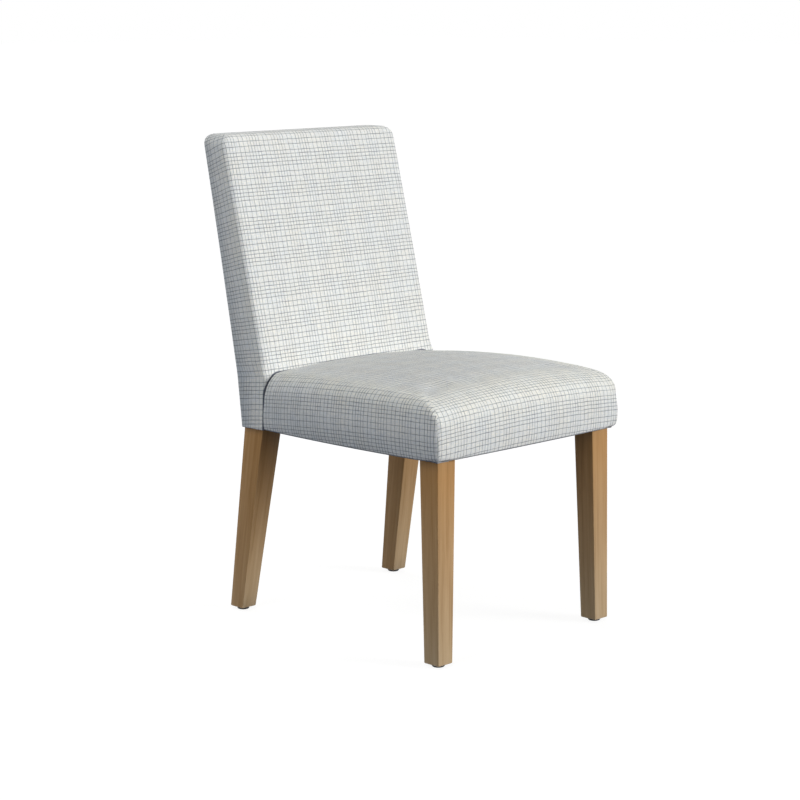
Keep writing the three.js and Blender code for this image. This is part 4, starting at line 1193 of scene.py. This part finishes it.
def leg_wood_material():
    nodes = new_material("stained_wood")
    grain = nodes.given("grain", "Vector")
    drift = grain.stretched(1, 1, 0.15).noise(14.0, 2.0, output="Color").stretched(0.012, 0.012, 0.0)
    drifted = nodes.add("VectorMath", {0: grain, 1: drift}, operation="ADD")
    figure = drifted.stretched(150, 150, 5).noise(1.0, 4.0, 0.55)
    dark = drifted.stretched(900, 900, 22).noise(1.0, 3.0, 0.6).remap(0.56, 0.72, 0, 0.28)
    height = nodes.given("rise", "Vector").axis("Z")
    # Painted light from the floor, paler and bluer towards the feet
    floor_light_share = height.remap(-0.03, -0.33) * nodes.given("painted_floor_light")
    # Painted shadow of the seat, darkest at the tops of the rear legs' fronts
    shaded = height.remap(-0.03, -0.25, 1.0, 0.4) * nodes.given("shade")
    base = figure.ramp(WOOD_FIGURE).tinted(floor_light_share.mix(WHITE, WOOD_PAINTED_FLOOR_LIGHT))
    broad = grain.stretched(22, 22, 3).noise(1.0, 2.0).remap(0.3, 0.7, 0, 0.3)
    colour = dark.mix(broad.mix(base, base.tinted(WOOD_LIGHTER)), base.tinted(WOOD_PORE))
    colour = shaded.mix(colour, colour.tinted(WOOD_SHADE))
    looks = {"Roughness": figure.remap(0.3, 0.7, 0.52, 0.4), "Specular_IOR_Level": DULL_SHINE}
    return nodes.surface(figure - dark * 1.5, 0.0001, 0.5, Base_Color=colour, **looks)


def plain_material(name, low, high, scale, roughness, depth=0.0001, metallic=0.0, stretch=(1, 1, 1)):
    """A material whose two colours are mixed by a noise, which also roughens it."""
    nodes = new_material(name)
    mottle = nodes.add("TexCoord", output="Object").stretched(*stretch).noise(scale, 3.0, 0.6)
    rough = mottle.remap(0.3, 0.7, roughness - ROUGHNESS_SPREAD, roughness + ROUGHNESS_SPREAD)
    looks = {"Roughness": rough, "Metallic": metallic, "Specular_IOR_Level": 0.5 if metallic else DULL_SHINE}
    return nodes.surface(mottle, depth, 0.5, Base_Color=mottle.remap(0.35, 0.65).mix(low, high), **looks)


def dust_cloth_material():
    nodes = new_material("thin_dark_cloth")
    uv = nodes.add("UVMap", uv_map="weave")
    dots = nodes.add("TexVoronoi", {"Vector": uv, "Scale": 700.0}, "Distance", feature="F1")
    fibres = uv.noise(260.0, 4.0, 0.7)
    colour = fibres.remap(0.3, 0.7).mix((0.010, 0.010, 0.011), (0.030, 0.030, 0.033))
    looks = {"Roughness": 0.95, "Specular_IOR_Level": 0.15}
    return nodes.surface(dots + fibres, 0.0002, 0.6, Base_Color=colour, **looks)


def webbing_material():
    nodes = new_material("woven_elastic")
    place = nodes.add("TexCoord", output="Object")
    ribs = ((place.axis("X") + place.axis("Y")) * 2600.0).math("SINE")
    colour = ribs.remap(-1, 1).mix((0.20, 0.15, 0.09), (0.34, 0.27, 0.17))
    return nodes.surface(ribs + place.noise(300.0), 0.0003, 0.5, Base_Color=colour, Roughness=0.9)


def dress():
    """Gives every shown CAD node the material of its slot."""
    for part in frame["record"]["subparts"]:
        node, material = frame["nodes"].get(part["node"]), materials.get(part["material_slot"])
        if node is None or material is None:
            continue
        if not node.material_slots:
            node.data.materials.append(material)
        for slot in node.material_slots:
            slot.link, slot.material = "OBJECT", material


# Camera, light and floor


def make_camera():
    camera = add_object("camera", bpy.data.cameras.new("camera"))
    camera.data.lens, camera.data.sensor_width = CAMERA_LENS, CAMERA_SENSOR
    x, y, z = CAMERA_PLACE
    camera.location = (x, y + SHIFT * MM, z)
    camera.rotation_euler = (radians(90 - CAMERA_DOWN), 0, radians(CAMERA_TURN))
    bpy.context.scene.camera = camera


def add_light(name, kind, towards, energy, colour, **settings):
    """A light that shines from the given direction."""
    lamp = add_object(name, bpy.data.lights.new(name, kind))
    lamp.data.energy, lamp.data.color = energy, colour
    for key, value in settings.items():
        setattr(lamp.data, key, value)
    lamp.rotation_mode = "QUATERNION"
    lamp.rotation_quaternion = Vector(towards).to_track_quat("Z", "Y")
    return lamp


def make_stage():
    scene = bpy.context.scene
    scene.view_settings.view_transform = "Standard"
    scene.world = bpy.data.worlds.new("studio")
    nodes = Nodes(scene.world)
    height = nodes.add("TexCoord", output="Generated").axis("Z")
    sky = height.remap(-1, 1).ramp([(0.45, SKY_LOW), (0.55, SKY_HIGH)])
    seen, lighting = (nodes.add("Background", {"Color": c, "Strength": 1.0}) for c in (WHITE, sky))
    nodes.stage_surface(seen, lighting)

    for name, towards, energy, angle, colour in SUNS:
        add_light(name, "SUN", towards, energy, colour, angle=radians(angle))
    towards = FILL_PLACE - FILL_AIM
    fill = add_light("fill", "AREA", towards, FILL_POWER, FILL_COLOUR, shape="DISK", size=FILL_SIZE)
    fill.location = FILL_PLACE

    nodes = new_material("pale_floor")
    pale, dull = (nodes.add("BsdfDiffuse", {"Color": c}) for c in (FLOOR_SEEN, FLOOR_LIGHTING))
    glow = nodes.add("Emission", {"Strength": FLOOR_GLOW})
    nodes.stage_surface(nodes.add("AddShader", {0: pale, 1: glow}), dull)
    mesh = bpy.data.meshes.new("floor")
    corners = [(x * FLOOR_HALF, y * FLOOR_HALF, 0) for x, y in ((-1, -1), (1, -1), (1, 1), (-1, 1))]
    mesh.from_pydata(corners, [], [(0, 1, 2, 3)])
    mesh.materials.append(nodes.owner)
    add_object("floor", mesh)


make_camera()
make_stage()

materials = {
    "cover_fabric": fabric_material(),
    "leg_wood": leg_wood_material(),
    "frame_wood": plain_material(
        "bare_wood", (0.48, 0.34, 0.19), (0.60, 0.46, 0.29), 6.0, 0.7, stretch=(8, 8, 40)
    ),
    "foam": plain_material("foam", (0.72, 0.66, 0.42), (0.80, 0.75, 0.53), 900.0, 0.95, 0.0006),
    "wadding": plain_material("wadding", (0.80, 0.80, 0.79), (0.90, 0.90, 0.89), 220.0, 0.95, 0.001),
    "webbing": webbing_material(),
    "card": plain_material("card", (0.38, 0.27, 0.15), (0.48, 0.36, 0.21), 300.0, 0.85),
    "dust_cloth": dust_cloth_material(),
    "glide_plastic": plain_material("black_plastic", (0.01, 0.01, 0.011), (0.022, 0.022, 0.024), 500.0, 0.42),
    "fastener_steel": plain_material(
        "zinc_plated_steel", (0.42, 0.42, 0.43), (0.58, 0.58, 0.60), 700.0, 0.35, 0.00005, 1.0
    ),
}

make_seat()
make_back()
make_rear_panel()
for seed, (side, sign) in enumerate((("left", -1), ("right", 1))):
    make_front_leg(side, sign, 2 * seed + 1)
    make_rear_leg(side, sign, 2 * seed + 6)
make_dust_cover()
dress()
